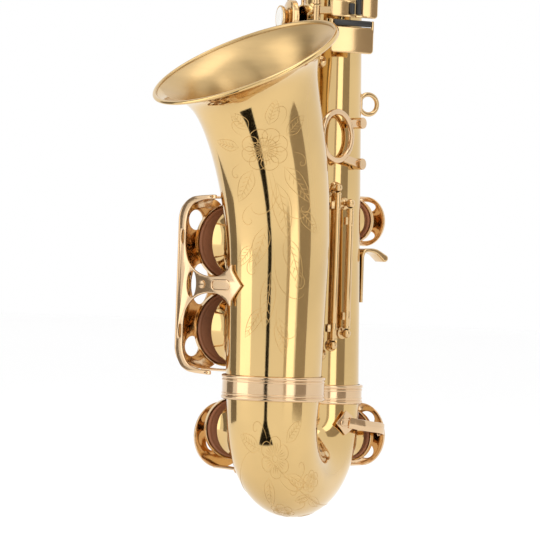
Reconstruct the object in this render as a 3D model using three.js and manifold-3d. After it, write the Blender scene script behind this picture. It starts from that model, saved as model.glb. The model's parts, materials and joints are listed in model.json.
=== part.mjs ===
// An alto saxophone: conical brass body, bow and flared bell, keywork on hinge tubes, neck and mouthpiece.
// Millimetres, +Z up. The body tube stands on the Z axis, the bell is in front of it at -Y, the player is
// at +Y. Directions round a tube are bearings: 0 faces front (-Y) and 90 faces +X, the player's left.
// The exported group has its origin at the centre of the strap ring.

import * as THREE from "three";
import { mergeVertices } from "three/addons/utils/BufferGeometryUtils.js";
import Module from "manifold-3d";

const wasm = await Module();
wasm.setup();

// ---------------------------------------------------------------- driving dimensions

const GAP = 0.3; // clearance between separate pieces that touch
const SHEET = 1.0; // wall of every brass tube

const BODY = { bottomZ: 80, topZ: 560, refZ: 86, refR: 25, taper: 0.02447 };
const BELL_Y = -78; // the bell's axis, in front of the body's
const BOW = { endR: 25.2, bellR: 29.4, centreZ: 66.5, bendR: 39, bodyTopZ: 79.7, bellTopZ: 85.6 };
const BELL = {
  bottomZ: 86, // joint with the bow, inside the ferrule
  straight: 77.5, // straight length above the joint
  arc: 130, // length of the curved part, up to the rim
  bend: 28.8, // degrees that the curved part leans over
  leanBearing: -25.1, // the way it leans
  baseR: 28.3, // radius = baseR + slow flare + lip flare
  flareR: 13,
  flareLength: 105,
  lipR: 20.2,
  lipLength: 8,
  beadR: 1.5, // rolled edge
};
const FERRULE = { wall: 1.3, ridge: 0.7 };
const CHIMNEY = { wall: 1.1, rise: 4.5 }; // tone-hole walls stand this far off the tube
const CUP = { skirt: 3, back: 1, wall: 0.9, dome: 1.8 };
const PAD = { thick: 3.6, seat: 0.9 }; // seat: height of a shut pad above its tone hole
const TUBE = { outer: 2.5, inner: 1.5, rod: 1.2 }; // hinge tubes and the rods in them
const POST = { stem: 1.7, head: 2.9 };
const ARM = { width: 6, thick: 2.2 };
const STRAP_RING = { bearing: 140, z: 271, reach: 28.5, ringR: 6.6, wireR: 1.6 };
const NECK = {
  tenonZ: 563, // lower end, inside the receiver
  tenonR: 12.2,
  endR: 6.4,
  rise: 46, // straight length below the bend
  bendR: 60,
  bend: 98, // degrees
  run: 40, // straight length above the bend
  corkLength: 27,
  corkR: 8,
};
const MOUTHPIECE = { length: 88, boreR: 8.4, overCork: 17, tableY: -9, reedThick: 2.6 };
const TABLE = { hinge: [2, 29.5], posts: [295.6, 367.4], bearing: 45, reach: 33, plateThick: 2 };
const ROLLER = { radius: 2, ear: 1.6 };
const OCTAVE = { bearing: 205, reach: 21, z: 460, halfBarrel: 4.6, pinTop: 584 };

// ---------------------------------------------------------------- materials

const metal = (color, roughness) => new THREE.MeshStandardMaterial({ color, roughness, metalness: 1 });
const plain = (color, roughness) => new THREE.MeshStandardMaterial({ color, roughness, metalness: 0 });

const lacquer = metal(0xd9b26a, 0.16); // clear-lacquered yellow brass of the tubes
const keyBrass = metal(0xdcb479, 0.22); // keys, guards and fittings, a little pinker
const steel = metal(0xa8a8a4, 0.3); // hinge rods
const leather = plain(0x74301a, 0.75); // pads
const blackNylon = plain(0x141414, 0.45); // rollers
const ebonite = plain(0x0c0c0d, 0.25); // mouthpiece
const corkwood = plain(0xb78a5a, 0.85);
const cane = plain(0xd8bf7e, 0.6);

// ---------------------------------------------------------------- geometry helpers

const rad = THREE.MathUtils.degToRad;

// A geometry with only its positions, and each corner stored once.
function welded(geometry) {
  for (const name of ["normal", "uv"]) geometry.deleteAttribute(name);
  return mergeVertices(geometry, 1e-4);
}

// A manifold solid from a closed, welded geometry, turned the right way out.
function solid(geometry) {
  const vertProperties = new Float32Array(geometry.attributes.position.array);
  const build = (triVerts) =>
    new wasm.Manifold(new wasm.Mesh({ numProp: 3, vertProperties, triVerts }));
  const tris = new Uint32Array(geometry.index.array);
  const made = build(tris);
  if (made.volume() > 0) return made;
  for (let i = 0; i < tris.length; i += 3) [tris[i], tris[i + 1]] = [tris[i + 1], tris[i]];
  return build(tris);
}

// The three.js geometry of a manifold solid.
function geometryOf(made) {
  const mesh = made.getMesh();
  const geometry = new THREE.BufferGeometry();
  const positions = new Float32Array(mesh.numVert * 3);
  for (let i = 0; i < mesh.numVert; i++) {
    const start = i * mesh.numProp;
    positions.set(mesh.vertProperties.subarray(start, start + 3), i * 3);
  }
  geometry.setAttribute("position", new THREE.BufferAttribute(positions, 3));
  geometry.setIndex(new THREE.BufferAttribute(mesh.triVerts, 1));
  geometry.computeVertexNormals();
  return geometry;
}

const join = (...geometries) => geometries.map(solid).reduce((a, b) => a.add(b));
const placed = (geometry, matrix) => geometry.clone().applyMatrix4(matrix);

// A body of revolution about +Z from [radius, z] points. The outline closes on itself or on the axis.
function turned(points, sides) {
  const outline = points.map(([r, z]) => new THREE.Vector2(r, z));
  return welded(new THREE.LatheGeometry(outline, sides)).rotateX(Math.PI / 2);
}

const tubeWall = (outer, inner, z0, z1, sides) =>
  turned([[inner, z0], [outer, z0], [outer, z1], [inner, z1], [inner, z0]], sides);

const rodAlongZ = (radius, z0, z1, sides) =>
  turned([[0, z0], [radius, z0], [radius, z1], [0, z1]], sides);

// A straight round bar between two points.
function bar(from, to, radius, sides = 8) {
  const along = new THREE.Vector3().subVectors(to, from);
  const turn = new THREE.Quaternion().setFromUnitVectors(
    new THREE.Vector3(0, 0, 1),
    along.clone().normalize(),
  );
  const matrix = new THREE.Matrix4().compose(from, turn, new THREE.Vector3(1, 1, 1));
  return placed(rodAlongZ(radius, 0, along.length(), sides), matrix);
}

// A flat strap of rectangular section between two points, its width along the given direction.
function strap(from, to, width, thick, widthAxis = new THREE.Vector3(0, 0, 1)) {
  const along = new THREE.Vector3().subVectors(to, from);
  const x = along.clone().normalize();
  const z = new THREE.Vector3().crossVectors(x, widthAxis).normalize();
  const y = new THREE.Vector3().crossVectors(z, x);
  const middle = new THREE.Vector3().addVectors(from, to).multiplyScalar(0.5);
  const matrix = new THREE.Matrix4().makeBasis(x, y, z).setPosition(middle);
  return placed(welded(new THREE.BoxGeometry(along.length(), width, thick)), matrix);
}

// The flat plate of a shape, centred on its own thickness.
function plate(shape, thick, curveSegments = 8) {
  const options = { depth: thick, bevelEnabled: false, curveSegments };
  return welded(new THREE.ExtrudeGeometry(shape, options)).translate(0, 0, -thick / 2);
}

function roundedRect(x0, y0, x1, y1, r) {
  const shape = new THREE.Shape();
  shape.moveTo(x0 + r, y0);
  shape.absarc(x1 - r, y0 + r, r, -Math.PI / 2, 0);
  shape.absarc(x1 - r, y1 - r, r, 0, Math.PI / 2);
  shape.absarc(x0 + r, y1 - r, r, Math.PI / 2, Math.PI);
  shape.absarc(x0 + r, y0 + r, r, Math.PI, 1.5 * Math.PI);
  return shape;
}

// A plate with elliptical holes cut through it, each [x, y, half width, half height].
function pierced(shape, thick, holes, curveSegments) {
  return geometryOf(
    holes.reduce((made, [x, y, rx, ry]) => {
      const hole = new THREE.Shape().absellipse(x, y, rx, ry, 0, 2 * Math.PI);
      return made.subtract(solid(plate(hole, thick + 2, 8)));
    }, solid(plate(shape, thick, curveSegments))),
  );
}

// ---------------------------------------------------------------- places round a tube

const bodyRadius = (z) => BODY.refR - (z - BODY.refZ) * BODY.taper;
const bowSetback = (z) =>
  BOW.bendR * (1 - Math.sqrt(1 - (Math.max(BOW.centreZ - z, 0) / BOW.bendR) ** 2));

const bellLength = BELL.straight + BELL.arc;
const bellRadius = (u) =>
  BELL.baseR + BELL.flareR * Math.exp(-u / BELL.flareLength) + BELL.lipR * Math.exp(-u / BELL.lipLength);

// Each tube gives its axis and its outer radius at a height.
const bodyTube = { y: () => 0, radius: bodyRadius };
const bellTube = { y: () => BELL_Y, radius: (z) => bellRadius(bellLength - (z - BELL.bottomZ)) };
const bowBodySide = { y: (z) => -bowSetback(z), radius: () => 25.7 };
const bowBellSide = { y: (z) => BELL_Y + bowSetback(z), radius: () => 28.8 };

// A point at a bearing and distance from a tube's axis.
function around(tube, bearing, reach, z) {
  const a = rad(bearing);
  return new THREE.Vector3(reach * Math.sin(a), tube.y(z) - reach * Math.cos(a), z);
}

// The level direction across a bearing.
const sideways = (bearing) => new THREE.Vector3(Math.cos(rad(bearing)), Math.sin(rad(bearing)), 0);

// Places a thing so that its +Z faces out of the tube and its +Y points up.
function facing(tube, bearing, reach, z) {
  const a = rad(bearing);
  const out = new THREE.Vector3(Math.sin(a), -Math.cos(a), 0);
  const up = new THREE.Vector3(0, 0, 1);
  const side = new THREE.Vector3().crossVectors(up, out);
  return new THREE.Matrix4().makeBasis(side, up, out).setPosition(around(tube, bearing, reach, z));
}

// ---------------------------------------------------------------- the tree of named parts

const sax = new THREE.Group();

function add(name, geometry, material, parent = sax) {
  const mesh = new THREE.Mesh(geometry, material);
  mesh.name = name;
  parent.add(mesh);
  return mesh;
}

// ---------------------------------------------------------------- tone holes and keys

// A key's cup closes the tone hole at its bearing. Its hinge tube runs between the two of its posts that
// stand nearest below and above it, at hinge: [bearing, reach]. lift is how far the key opens, in degrees.
// nudge is how far open a sprung-shut key rests. A touch is a finger plate on the key's own hinge tube.
const LOWER = {
  on: bodyTube, bearing: -60, hinge: [-102, 34.5], posts: [103, 135, 168, 201, 234], lift: 8, pearl: true,
};
const UPPER = {
  on: bodyTube, bearing: -40, hinge: [-86, 30], posts: [245, 278, 309, 340], lift: 8, pearl: true,
};
const BELL_KEY = {
  on: bellTube, bearing: -110, hinge: [-163, 41], posts: [102, 148.7, 197], lift: 13.5, holeR: 20.5,
};
const KEYS = [
  { ...BELL_KEY, name: "low_b_flat", z: 176.4 },
  { ...BELL_KEY, name: "low_b", z: 121 },
  {
    name: "low_c", on: bowBellSide, z: 57, bearing: -118, holeR: 16, hinge: [-162, 42],
    posts: [51, 74.5], lift: 10, rise: 6.5,
  },
  {
    name: "low_c_sharp", on: bowBodySide, z: 51.5, bearing: 160, holeR: 13, hinge: [212, 34],
    posts: [40, 62], lift: 5, nudge: 3,
  },
  {
    name: "low_e_flat", on: bodyTube, z: 126, bearing: -168, holeR: 12, hinge: [-128, 33],
    posts: [91, 141], lift: 7, nudge: 0, touch: { z: 102, bearing: -112, reach: 46, size: [16, 9] },
  },
  {
    name: "g_sharp", on: bodyTube, z: 194, bearing: 165, holeR: 10.5, hinge: [216, 30], posts: [182, 206],
    lift: 7, nudge: 4,
  },
  { ...LOWER, name: "d", z: 118, holeR: 12.5 },
  { ...LOWER, name: "e", z: 152, holeR: 12 },
  { ...LOWER, name: "f", z: 185, holeR: 11.5 },
  { ...LOWER, name: "f_sharp", z: 217, holeR: 11, pearl: false },
  { ...UPPER, name: "g", z: 262, holeR: 10 },
  { ...UPPER, name: "a", z: 294, holeR: 9 },
  { ...UPPER, name: "b", z: 324, holeR: 8 },
  {
    name: "side_b_flat", on: bodyTube, z: 356, bearing: -170, holeR: 7.5, hinge: [-133, 26],
    posts: [252, 368], lift: 7, nudge: 0, touch: { z: 268, bearing: -120, reach: 37, size: [9, 18] },
  },
  {
    name: "side_c", on: bodyTube, z: 390, bearing: -148, holeR: 7, hinge: [-111, 26], posts: [276, 402],
    lift: 7, nudge: 0, touch: { z: 292, bearing: -100, reach: 37, size: [9, 18] },
  },
  {
    name: "palm_d", on: bodyTube, z: 406, bearing: 96, holeR: 7, hinge: [58, 25], posts: [374, 418],
    lift: 7, nudge: 0, touch: { z: 384, bearing: 76, reach: 37, size: [11, 18] },
  },
  {
    name: "palm_e_flat", on: bodyTube, z: 446, bearing: 146, holeR: 7, hinge: [106, 26],
    posts: [424, 458], lift: 7, nudge: 0, touch: { z: 432, bearing: 118, reach: 38, size: [11, 14] },
  },
  {
    name: "palm_f", on: bodyTube, z: 482, bearing: 84, holeR: 6.5, hinge: [46, 24], posts: [442, 494],
    lift: 7, nudge: 0, touch: { z: 452, bearing: 66, reach: 36, size: [11, 18] },
  },
];
const BARE_PADS = ["low_b_flat", "low_b", "low_c", "low_c_sharp", "low_e_flat", "g_sharp"];

// How far a key turns from where it rests: shut at one end, fully open at the other.
function swing({ lift, nudge }) {
  const open = nudge ?? lift;
  return [-open, lift - open];
}

const chimneyRim = (key) => key.on.radius(key.z) + (key.rise ?? CHIMNEY.rise);
const sidesFor = (radius) => (radius > 15 ? 20 : 10);

// The heights between which a key's hinge tube runs: just clear of the posts on either side of it.
function tubeSpan(key) {
  const below = Math.max(...key.posts.filter((z) => z < key.z));
  const above = Math.min(...key.posts.filter((z) => z > key.z));
  return [below + POST.head + GAP, above - POST.head - GAP];
}

// Opens tone holes in a tube: their ring walls are joined on, the inside is cleared, the bores are cut.
function withToneHoles(outside, inside, keys) {
  const drum = (key, radius, from, to) =>
    solid(placed(rodAlongZ(radius, from, to, sidesFor(key.holeR)), facing(key.on, key.bearing, 0, key.z)));
  const wall = (key) => drum(key, key.holeR + CHIMNEY.wall, key.on.radius(key.z) - 6, chimneyRim(key));
  const bore = (key) => drum(key, key.holeR, 2, chimneyRim(key) + 1);
  const walled = keys.reduce((made, key) => made.add(wall(key)), outside).subtract(inside);
  return keys.reduce((made, key) => made.subtract(bore(key)), walled);
}

// The cup that holds a pad, open side down; its skirt ends at z = 0. A filled cup has its pad in it,
// which stands proud of the skirt.
function cup(padR, sides, proud) {
  const inner = padR + GAP;
  const outer = inner + CUP.wall;
  const top = CUP.skirt + CUP.back + CUP.dome;
  const hollow = [[0, CUP.skirt], [inner, CUP.skirt], [inner, 0]];
  const filled = [[0, -proud], [padR, -proud], [padR, 0]];
  const outline = [...(proud ? filled : hollow), [outer, 0], [outer, CUP.skirt + CUP.back]];
  return turned([...outline, [outer * 0.55, top], [0, top]], sides);
}

// A leather pad with its round metal resonator, face down at z = 0.
function pad(padR, sides) {
  const outline = [[0, -0.5], [padR * 0.5, -0.4], [padR * 0.5, 0], [padR, 0]];
  outline.push([padR, PAD.thick], [0, PAD.thick]);
  return turned(outline, sides);
}

// One key, modelled shut and then turned about its hinge tube to where it rests.
function addKey(key) {
  const padR = key.holeR + CHIMNEY.wall + 1.6;
  const sides = sidesFor(key.holeR);
  const bare = BARE_PADS.includes(key.name);
  const [hingeBearing, hingeReach] = key.hinge;
  const hinge = around(key.on, hingeBearing, hingeReach, key.z);
  const [z0, z1] = tubeSpan(key);
  const seat = chimneyRim(key) + PAD.seat;
  const cupBase = seat + PAD.thick + GAP - CUP.skirt;
  const back = cupBase + CUP.skirt + CUP.back + CUP.dome;

  const onCup = around(key.on, key.bearing, back - 1, key.z);
  const shoulder = around(key.on, hingeBearing, Math.max(back, hingeReach + 3), key.z);
  const knee = around(key.on, (key.bearing + hingeBearing) / 2, back + 3.4, key.z);
  const column = (radius, from, to) => rodAlongZ(radius, from, to, 8).translate(hinge.x, hinge.y, 0);
  const pieces = [
    placed(cup(padR, sides, bare ? 0 : cupBase - seat), facing(key.on, key.bearing, cupBase, key.z)),
    column(TUBE.outer, z0, z1),
    strap(hinge, shoulder, ARM.width, ARM.thick),
    strap(shoulder, knee, ARM.width, ARM.thick),
    strap(knee, onCup, ARM.width, ARM.thick),
  ];
  if (key.pearl) {
    const button = turned([[0, 0], [5, 0], [7.6, 4], [0, 5.2]], 10);
    pieces.push(placed(button, facing(key.on, key.bearing, back - 0.5, key.z)));
  }
  if (key.touch) {
    const { z, bearing, reach, size } = key.touch;
    const shape = roundedRect(-size[0] / 2, -size[1] / 2, size[0] / 2, size[1] / 2, 4);
    const touchPoint = around(key.on, bearing, reach, z);
    pieces.push(placed(plate(shape, 2, 3), facing(key.on, bearing, reach, z)));
    pieces.push(strap(hinge.clone().setZ(z), touchPoint, ARM.width, ARM.thick));
  }
  let made = join(...pieces);
  if (bare) {
    const socket = rodAlongZ(padR + GAP, -3, CUP.skirt, sides);
    made = made.subtract(solid(placed(socket, facing(key.on, key.bearing, cupBase, key.z))));
  }
  if (Object.values(STACKS).some((line) => line.hinge === key.hinge)) {
    made = made.subtract(solid(column(TUBE.inner, z0 - 1, z1 + 1)));
  }

  const out = around(key.on, key.bearing, 1, key.z).sub(around(key.on, key.bearing, 0, key.z));
  const opening = Math.sign((onCup.x - hinge.x) * out.y - (onCup.y - hinge.y) * out.x);
  const range = swing(key);
  const group = new THREE.Group();
  group.position.copy(hinge);
  group.rotation.z = rad(-opening * range[0]);
  group.userData.joint = { name: key.name + "_hinge", axis: [0, 0, opening], range };
  sax.add(group);
  const local = (geometry) => geometry.translate(-hinge.x, -hinge.y, -hinge.z);
  add(key.name + "_key", local(geometryOf(made)), keyBrass, group);
  if (bare) {
    const padPlace = facing(key.on, key.bearing, seat, key.z);
    add(key.name + "_pad", local(placed(pad(padR, sides), padPlace)), leather, group);
  }
}

// ---------------------------------------------------------------- body, bow and bell

// A post: a stem on the tube that widens to a head, which carries the end of a hinge.
function post(key, z) {
  const [bearing, reach] = key.hinge;
  const hinge = around(key.on, bearing, reach, key.z);
  const foot = around(key.on, bearing, key.on.radius(z) - 2, z);
  const length = foot.distanceTo(hinge.clone().setZ(z));
  const outline = [[0, 0], [POST.stem, 0], [POST.head, length - 1.5], [POST.head, length + POST.head - 0.4]];
  const out = hinge.clone().setZ(z).sub(foot).normalize();
  const turn = new THREE.Quaternion().setFromUnitVectors(new THREE.Vector3(0, 0, 1), out);
  const matrix = new THREE.Matrix4().compose(foot, turn, new THREE.Vector3(1, 1, 1));
  return solid(placed(turned([...outline, [0, length + POST.head - 0.4]], 6), matrix));
}

// The long levers that run down the body from the table, each turning between its own pair of posts.
const LEVERS = [
  { name: "low_c_sharp_lever", hinge: [54, 29.5], posts: [120, 204] },
  { name: "low_b_lever", hinge: [36, 29.5], posts: [112, 214] },
  { name: "low_b_flat_lever", hinge: [20, 29.5], posts: [106, 210] },
].map((lever) => ({ ...lever, on: bodyTube, z: 160 }));
const TABLE_LINE = { on: bodyTube, hinge: TABLE.hinge, posts: TABLE.posts, z: 330 };

// Every post once: keys on one hinge line share theirs.
function postsFor(keys) {
  const lines = new Map(keys.map((key) => [key.posts, key]));
  return [...lines.values()].flatMap((key) => key.posts.map((z) => post(key, z)));
}

// Bends a geometry drawn along +Z so that its height follows frame(z).
function bent(geometry, frame) {
  const made = geometry.clone();
  const position = made.attributes.position;
  const point = new THREE.Vector3();
  for (let i = 0; i < position.count; i++) {
    point.fromBufferAttribute(position, i);
    const { centre, x, y } = frame(point.z);
    const moved = centre.clone().addScaledVector(x, point.x).addScaledVector(y, point.y);
    position.setXYZ(i, moved.x, moved.y, moved.z);
  }
  return made;
}

// A solid of revolution whose radius is a function of the length along it.
function tapered(radius, lengths, sides) {
  const wall = lengths.map((s) => [radius(s), s]);
  return turned([[0, lengths[0]], ...wall, [0, lengths.at(-1)]], sides);
}

const steps = (from, to, count) =>
  Array.from({ length: count + 1 }, (_, i) => from + ((to - from) * i) / count);

const onBody = KEYS.filter((key) => key.on === bodyTube);
const bodySolid = (inset, extra) =>
  solid(
    tapered((z) => bodyRadius(z) - inset, [BODY.bottomZ - extra, BODY.topZ + extra], 20),
  );

// The bow: down from the body, half a turn, and up to the bell.
const bowLegs = [BOW.bodyTopZ - BOW.centreZ, BOW.bellTopZ - BOW.centreZ];
const bowLength = bowLegs[0] + Math.PI * BOW.bendR + bowLegs[1];
function bowFrame(s) {
  const turn = THREE.MathUtils.clamp((s - bowLegs[0]) / BOW.bendR, 0, Math.PI);
  const before = Math.max(bowLegs[0] - s, 0);
  const after = Math.max(s - bowLegs[0] - Math.PI * BOW.bendR, 0);
  const y = -BOW.bendR * (1 - Math.cos(turn));
  const z = BOW.centreZ - BOW.bendR * Math.sin(turn) + before + after;
  return {
    centre: new THREE.Vector3(0, y, z),
    x: new THREE.Vector3(1, 0, 0),
    y: new THREE.Vector3(0, Math.cos(turn), -Math.sin(turn)).negate(),
  };
}
const bowRadius = (s) => BOW.endR + ((BOW.bellR - BOW.endR) * s) / bowLength;
function bowSolid(inset, extra) {
  const lengths = [-extra, ...steps(bowLegs[0], bowLength - bowLegs[1], 9), bowLength + extra];
  return solid(bent(tapered((s) => bowRadius(s) - inset, lengths, 20), bowFrame));
}

// The bell: straight, then leaning over on an arc. u is the distance below the rim.
function bellFrame(s) {
  const lean = rad(BELL.leanBearing);
  const h = new THREE.Vector3(Math.sin(lean), -Math.cos(lean), 0);
  const side = new THREE.Vector3(-h.y, h.x, 0);
  const arcR = BELL.arc / rad(BELL.bend);
  const turn = Math.max(s - BELL.straight, 0) / arcR;
  const centre = h.clone().multiplyScalar(arcR * (1 - Math.cos(turn)));
  centre.y += BELL_Y;
  centre.z = BELL.bottomZ + Math.min(s, BELL.straight) + arcR * Math.sin(turn);
  const n = h.clone().multiplyScalar(Math.cos(turn)).setZ(-Math.sin(turn));
  const mix = (a, b) => n.clone().multiplyScalar(a).addScaledVector(side, b);
  return { centre, x: mix(h.x, side.x), y: mix(h.y, side.y) };
}

// The bell's outline as [radius, length] points, set in by a distance along the sheet's normal.
function bellOutline(inset) {
  const distances = [bellLength, BELL.arc, 95, 65, 40, 22, 12, 6, 2.6];
  return distances.map((u) => {
    const slope = (bellRadius(u - 0.1) - bellRadius(u + 0.1)) / 0.2;
    const scale = inset / Math.hypot(1, slope);
    return [bellRadius(u) - scale, bellLength - u + scale * slope];
  });
}
const beadCentre = [bellRadius(0) - 1.2, bellLength];
const beadPoint = (angle) => [
  beadCentre[0] + BELL.beadR * Math.cos(rad(angle)),
  beadCentre[1] + BELL.beadR * Math.sin(rad(angle)),
];
function bellSolid(extra) {
  const outside = [[0, 0], ...bellOutline(0), ...[-40, 25, 90].map(beadPoint)];
  const cavity = bellOutline(SHEET);
  cavity[0][1] -= 1;
  const mouth = [beadPoint(90), [beadPoint(90)[0], bellLength + 8], [0, bellLength + 8]];
  const outline = extra ? [[0, -1], ...cavity, ...mouth] : [...outside, [0, beadPoint(90)[1]]];
  return solid(bent(turned(outline, 28), bellFrame));
}

// The two short posts that carry the octave lever's barrel.
function octavePosts() {
  const { bearing, reach, z, halfBarrel } = OCTAVE;
  const side = sideways(bearing).multiplyScalar(halfBarrel + GAP + 1.7);
  const foot = around(bodyTube, bearing, bodyRadius(z) - 4, z);
  const head = around(bodyTube, bearing, reach, z);
  return [1, -1].map((sign) => {
    const shift = side.clone().multiplyScalar(sign);
    return solid(bar(foot.clone().add(shift), head.clone().add(shift), 1.7, 8));
  });
}

// A steel rod along a whole hinge line, through every tube and post on it.
function rodOn(key, radius) {
  const at = around(key.on, ...key.hinge, key.z);
  return rodAlongZ(radius, key.posts[0] - 5, key.posts.at(-1) + 5, 8).translate(at.x, at.y, 0);
}

function addHorn(name, outside, inside, keys, rodLines = [], otherLines = []) {
  const withPosts = postsFor([...keys, ...otherLines]).reduce((made, item) => made.add(item), outside);
  const horn = withToneHoles(withPosts, inside, keys);
  const drilled = rodLines.reduce((made, key) => made.subtract(solid(rodOn(key, TUBE.inner))), horn);
  add(name, geometryOf(drilled), lacquer);
}

const lineOf = (hinge) => KEYS.find((key) => key.hinge === hinge);
const STACKS = { lower: lineOf(LOWER.hinge), upper: lineOf(UPPER.hinge), bell: lineOf(BELL_KEY.hinge) };
const keysOn = (...tubes) => KEYS.filter((key) => tubes.includes(key.on));

addHorn(
  "body_tube",
  octavePosts().reduce((made, item) => made.add(item), bodySolid(0, 0)),
  bodySolid(SHEET, 1),
  keysOn(bodyTube),
  [STACKS.lower, STACKS.upper],
  [...LEVERS, TABLE_LINE],
);
addHorn("bow", bowSolid(0, 0), bowSolid(SHEET, 1), keysOn(bowBellSide, bowBodySide));
addHorn("bell", bellSolid(false), bellSolid(true), keysOn(bellTube), [STACKS.bell]);

for (const [name, key] of Object.entries(STACKS)) {
  const lineName = name === "bell" ? "bell_key_rod" : name + "_stack_rod";
  add(lineName, rodOn(key, TUBE.rod), steel);
}
for (const key of KEYS) addKey(key);

// ---------------------------------------------------------------- ferrules

// A joint ring with a raised band at each edge.
function ferrule(inner, z0, z1, sides) {
  const low = inner + FERRULE.wall;
  const high = low + FERRULE.ridge;
  const step = (z1 - z0) * 0.16;
  const wall = [[high, z0], [high, z0 + step], [low, z0 + step], [low, z1 - step]];
  return turned([[inner, z0], ...wall, [high, z1 - step], [high, z1], [inner, z1], [inner, z0]], sides);
}

add("body_ferrule", ferrule(BOW.endR + 0.6, 73.7, 86.3, 24), keyBrass);
add("bell_ferrule", ferrule(30.9, 78, 93.4, 24).translate(0, BELL_Y, 0), keyBrass);

// ---------------------------------------------------------------- guards over the big keys

// The guard of the two bell keys: a side plate outside the cups, and a front flange that leans on the
// bell. Both are flat; x is the distance from the tube's own bearing and y the height above the middle.
const BELL_GUARD = { z: 149, sideBearing: -110, sideReach: 60.5, frontBearing: -25, thick: 1.4 };

function frontFlange() {
  const shape = new THREE.Shape();
  const upper = (sign) => [
    ["lineTo", -57.6, 36 * sign],
    ["quadraticCurveTo", -57, 53 * sign, -40, 56 * sign],
    ["lineTo", -24, 56.6 * sign],
    ["lineTo", -24, 54 * sign],
    ["lineTo", -38, 53 * sign],
    ["quadraticCurveTo", -51, 50 * sign, -51.4, 36 * sign],
    ["lineTo", -51.4, 24 * sign],
    ["quadraticCurveTo", -46, 7 * sign, -26, 5 * sign],
    ["quadraticCurveTo", -14, 5 * sign, -6, 13 * sign],
    ["lineTo", -4, 8 * sign],
  ];
  const [first, ...rest] = upper(1);
  shape.moveTo(first[1], first[2]);
  for (const [call, ...values] of rest) shape[call](...values);
  shape.lineTo(4, 0);
  drawBack(shape, upper(-1));
  return pierced(shape, BELL_GUARD.thick, [[-43.5, 0, 6, 9]], 5);
}

// Draws a list of outline calls from its last point back to its first.
function drawBack(shape, calls) {
  shape.lineTo(...calls.at(-1).slice(-2));
  for (let i = calls.length - 1; i > 0; i--) {
    const [call, ...values] = calls[i];
    const target = calls[i - 1].slice(-2);
    if (call === "quadraticCurveTo") shape.quadraticCurveTo(values[0], values[1], ...target);
    else shape.lineTo(...target);
  }
}

function sidePlate() {
  const shape = roundedRect(-14, -54.5, 28.4, 55.5, 15);
  return pierced(shape, BELL_GUARD.thick, [[13.5, 41, 6.4, 6.4], [13.5, -40, 6.4, 6.4], [8, 0, 8, 13]], 5);
}

function bellGuard() {
  const { z, sideBearing, sideReach, frontBearing } = BELL_GUARD;
  const flangeReach = 32.6;
  const straps = [56, -54.6].map((dz) => {
    const inner = around(bellTube, sideBearing, bellTube.radius(z + dz) + 0.9 + (dz > 0 ? 3.4 : 0), z + dz);
    return strap(inner, around(bellTube, sideBearing, sideReach, z + dz), 9, 1.6, sideways(sideBearing));
  });
  return join(
    placed(frontFlange(), facing(bellTube, frontBearing, flangeReach, z)),
    placed(sidePlate(), facing(bellTube, sideBearing, sideReach, z)),
    ...straps,
  );
}

add("bell_key_guard", geometryOf(bellGuard()), keyBrass);

// A round guard: a pierced disc in front of a cup, on legs that stand on the tube.
function roundGuard({ on, bearing, reach, z, discR, holes, legs, foot }) {
  const disc = new THREE.Shape().absarc(0, 0, discR, 0, 2 * Math.PI);
  const pieces = [placed(pierced(disc, 1.4, holes, 10), facing(on, bearing, reach, z))];
  for (const { dx, dz } of legs) {
    const outer = new THREE.Vector3(dx, dz, 0).applyMatrix4(facing(on, bearing, reach, z));
    const inner = new THREE.Vector3(dx * foot.spread, dz, foot.depth - reach).applyMatrix4(
      facing(on, bearing, reach, z),
    );
    pieces.push(strap(outer, inner, 5, 1.8, sideways(bearing)));
  }
  return join(...pieces);
}

const G_SHARP_GUARD = {
  on: bodyTube, bearing: 165, reach: 42.5, z: 194, discR: 16.6,
  holes: [[3, 0, 2.6, 3.6], [0, 9.5, 9, 3.6], [0, -9.5, 9, 3.6]],
  legs: [{ dx: 0, dz: 15.6 }, { dx: 0, dz: -15.6 }],
  foot: { depth: 23.4, spread: 1 },
};
const LOW_C_SHARP_GUARD = {
  on: bowBodySide, bearing: 160, reach: 43, z: 52, discR: 20.8,
  holes: [[-5, 10.5, 7, 5], [-5, -10.5, 7, 5], [9, 0, 4, 7]],
  legs: [{ dx: 0, dz: -19.8 }],
  foot: { depth: 29, spread: 1 },
};
const LOW_C_GUARD = {
  on: bowBellSide, bearing: -118, reach: 54.5, z: 52, discR: 21.5,
  holes: [[0, 12, 10, 4], [7, -4, 5, 6], [-8, -4, 5, 6]],
  legs: [{ dx: 3, dz: -20.4 }],
  foot: { depth: 31.5, spread: 1 },
};

add("g_sharp_guard", geometryOf(roundGuard(G_SHARP_GUARD)), keyBrass);
add("low_c_guard", geometryOf(roundGuard(LOW_C_GUARD)), keyBrass);

// The low C sharp guard also has an arm round the tube to an arrow-shaped foot.
function lowCSharpGuard() {
  const at = (bearing, reach, z) => around(bowBodySide, bearing, reach, z);
  const across = new THREE.Vector3(0, 0, 1);
  const points = [at(139, 44.6, 55), at(112, 41, 58), at(88, 34, 60), at(66, 28.2, 62)];
  const arms = points.slice(1).map((point, i) => strap(points[i], point, 7, 1.8, across));
  const arrow = new THREE.Shape();
  arrow.moveTo(-9, 0);
  arrow.lineTo(-1, 8);
  arrow.lineTo(5, 4);
  arrow.lineTo(5, -4);
  arrow.lineTo(-1, -8);
  arrow.closePath();
  const foot = placed(plate(arrow, 1), facing(bowBodySide, 62, 27.7, 62));
  return roundGuard(LOW_C_SHARP_GUARD).add(join(...arms, foot));
}
add("low_c_sharp_guard", geometryOf(lowCSharpGuard()), keyBrass);

// ---------------------------------------------------------------- fittings on the body

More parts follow.
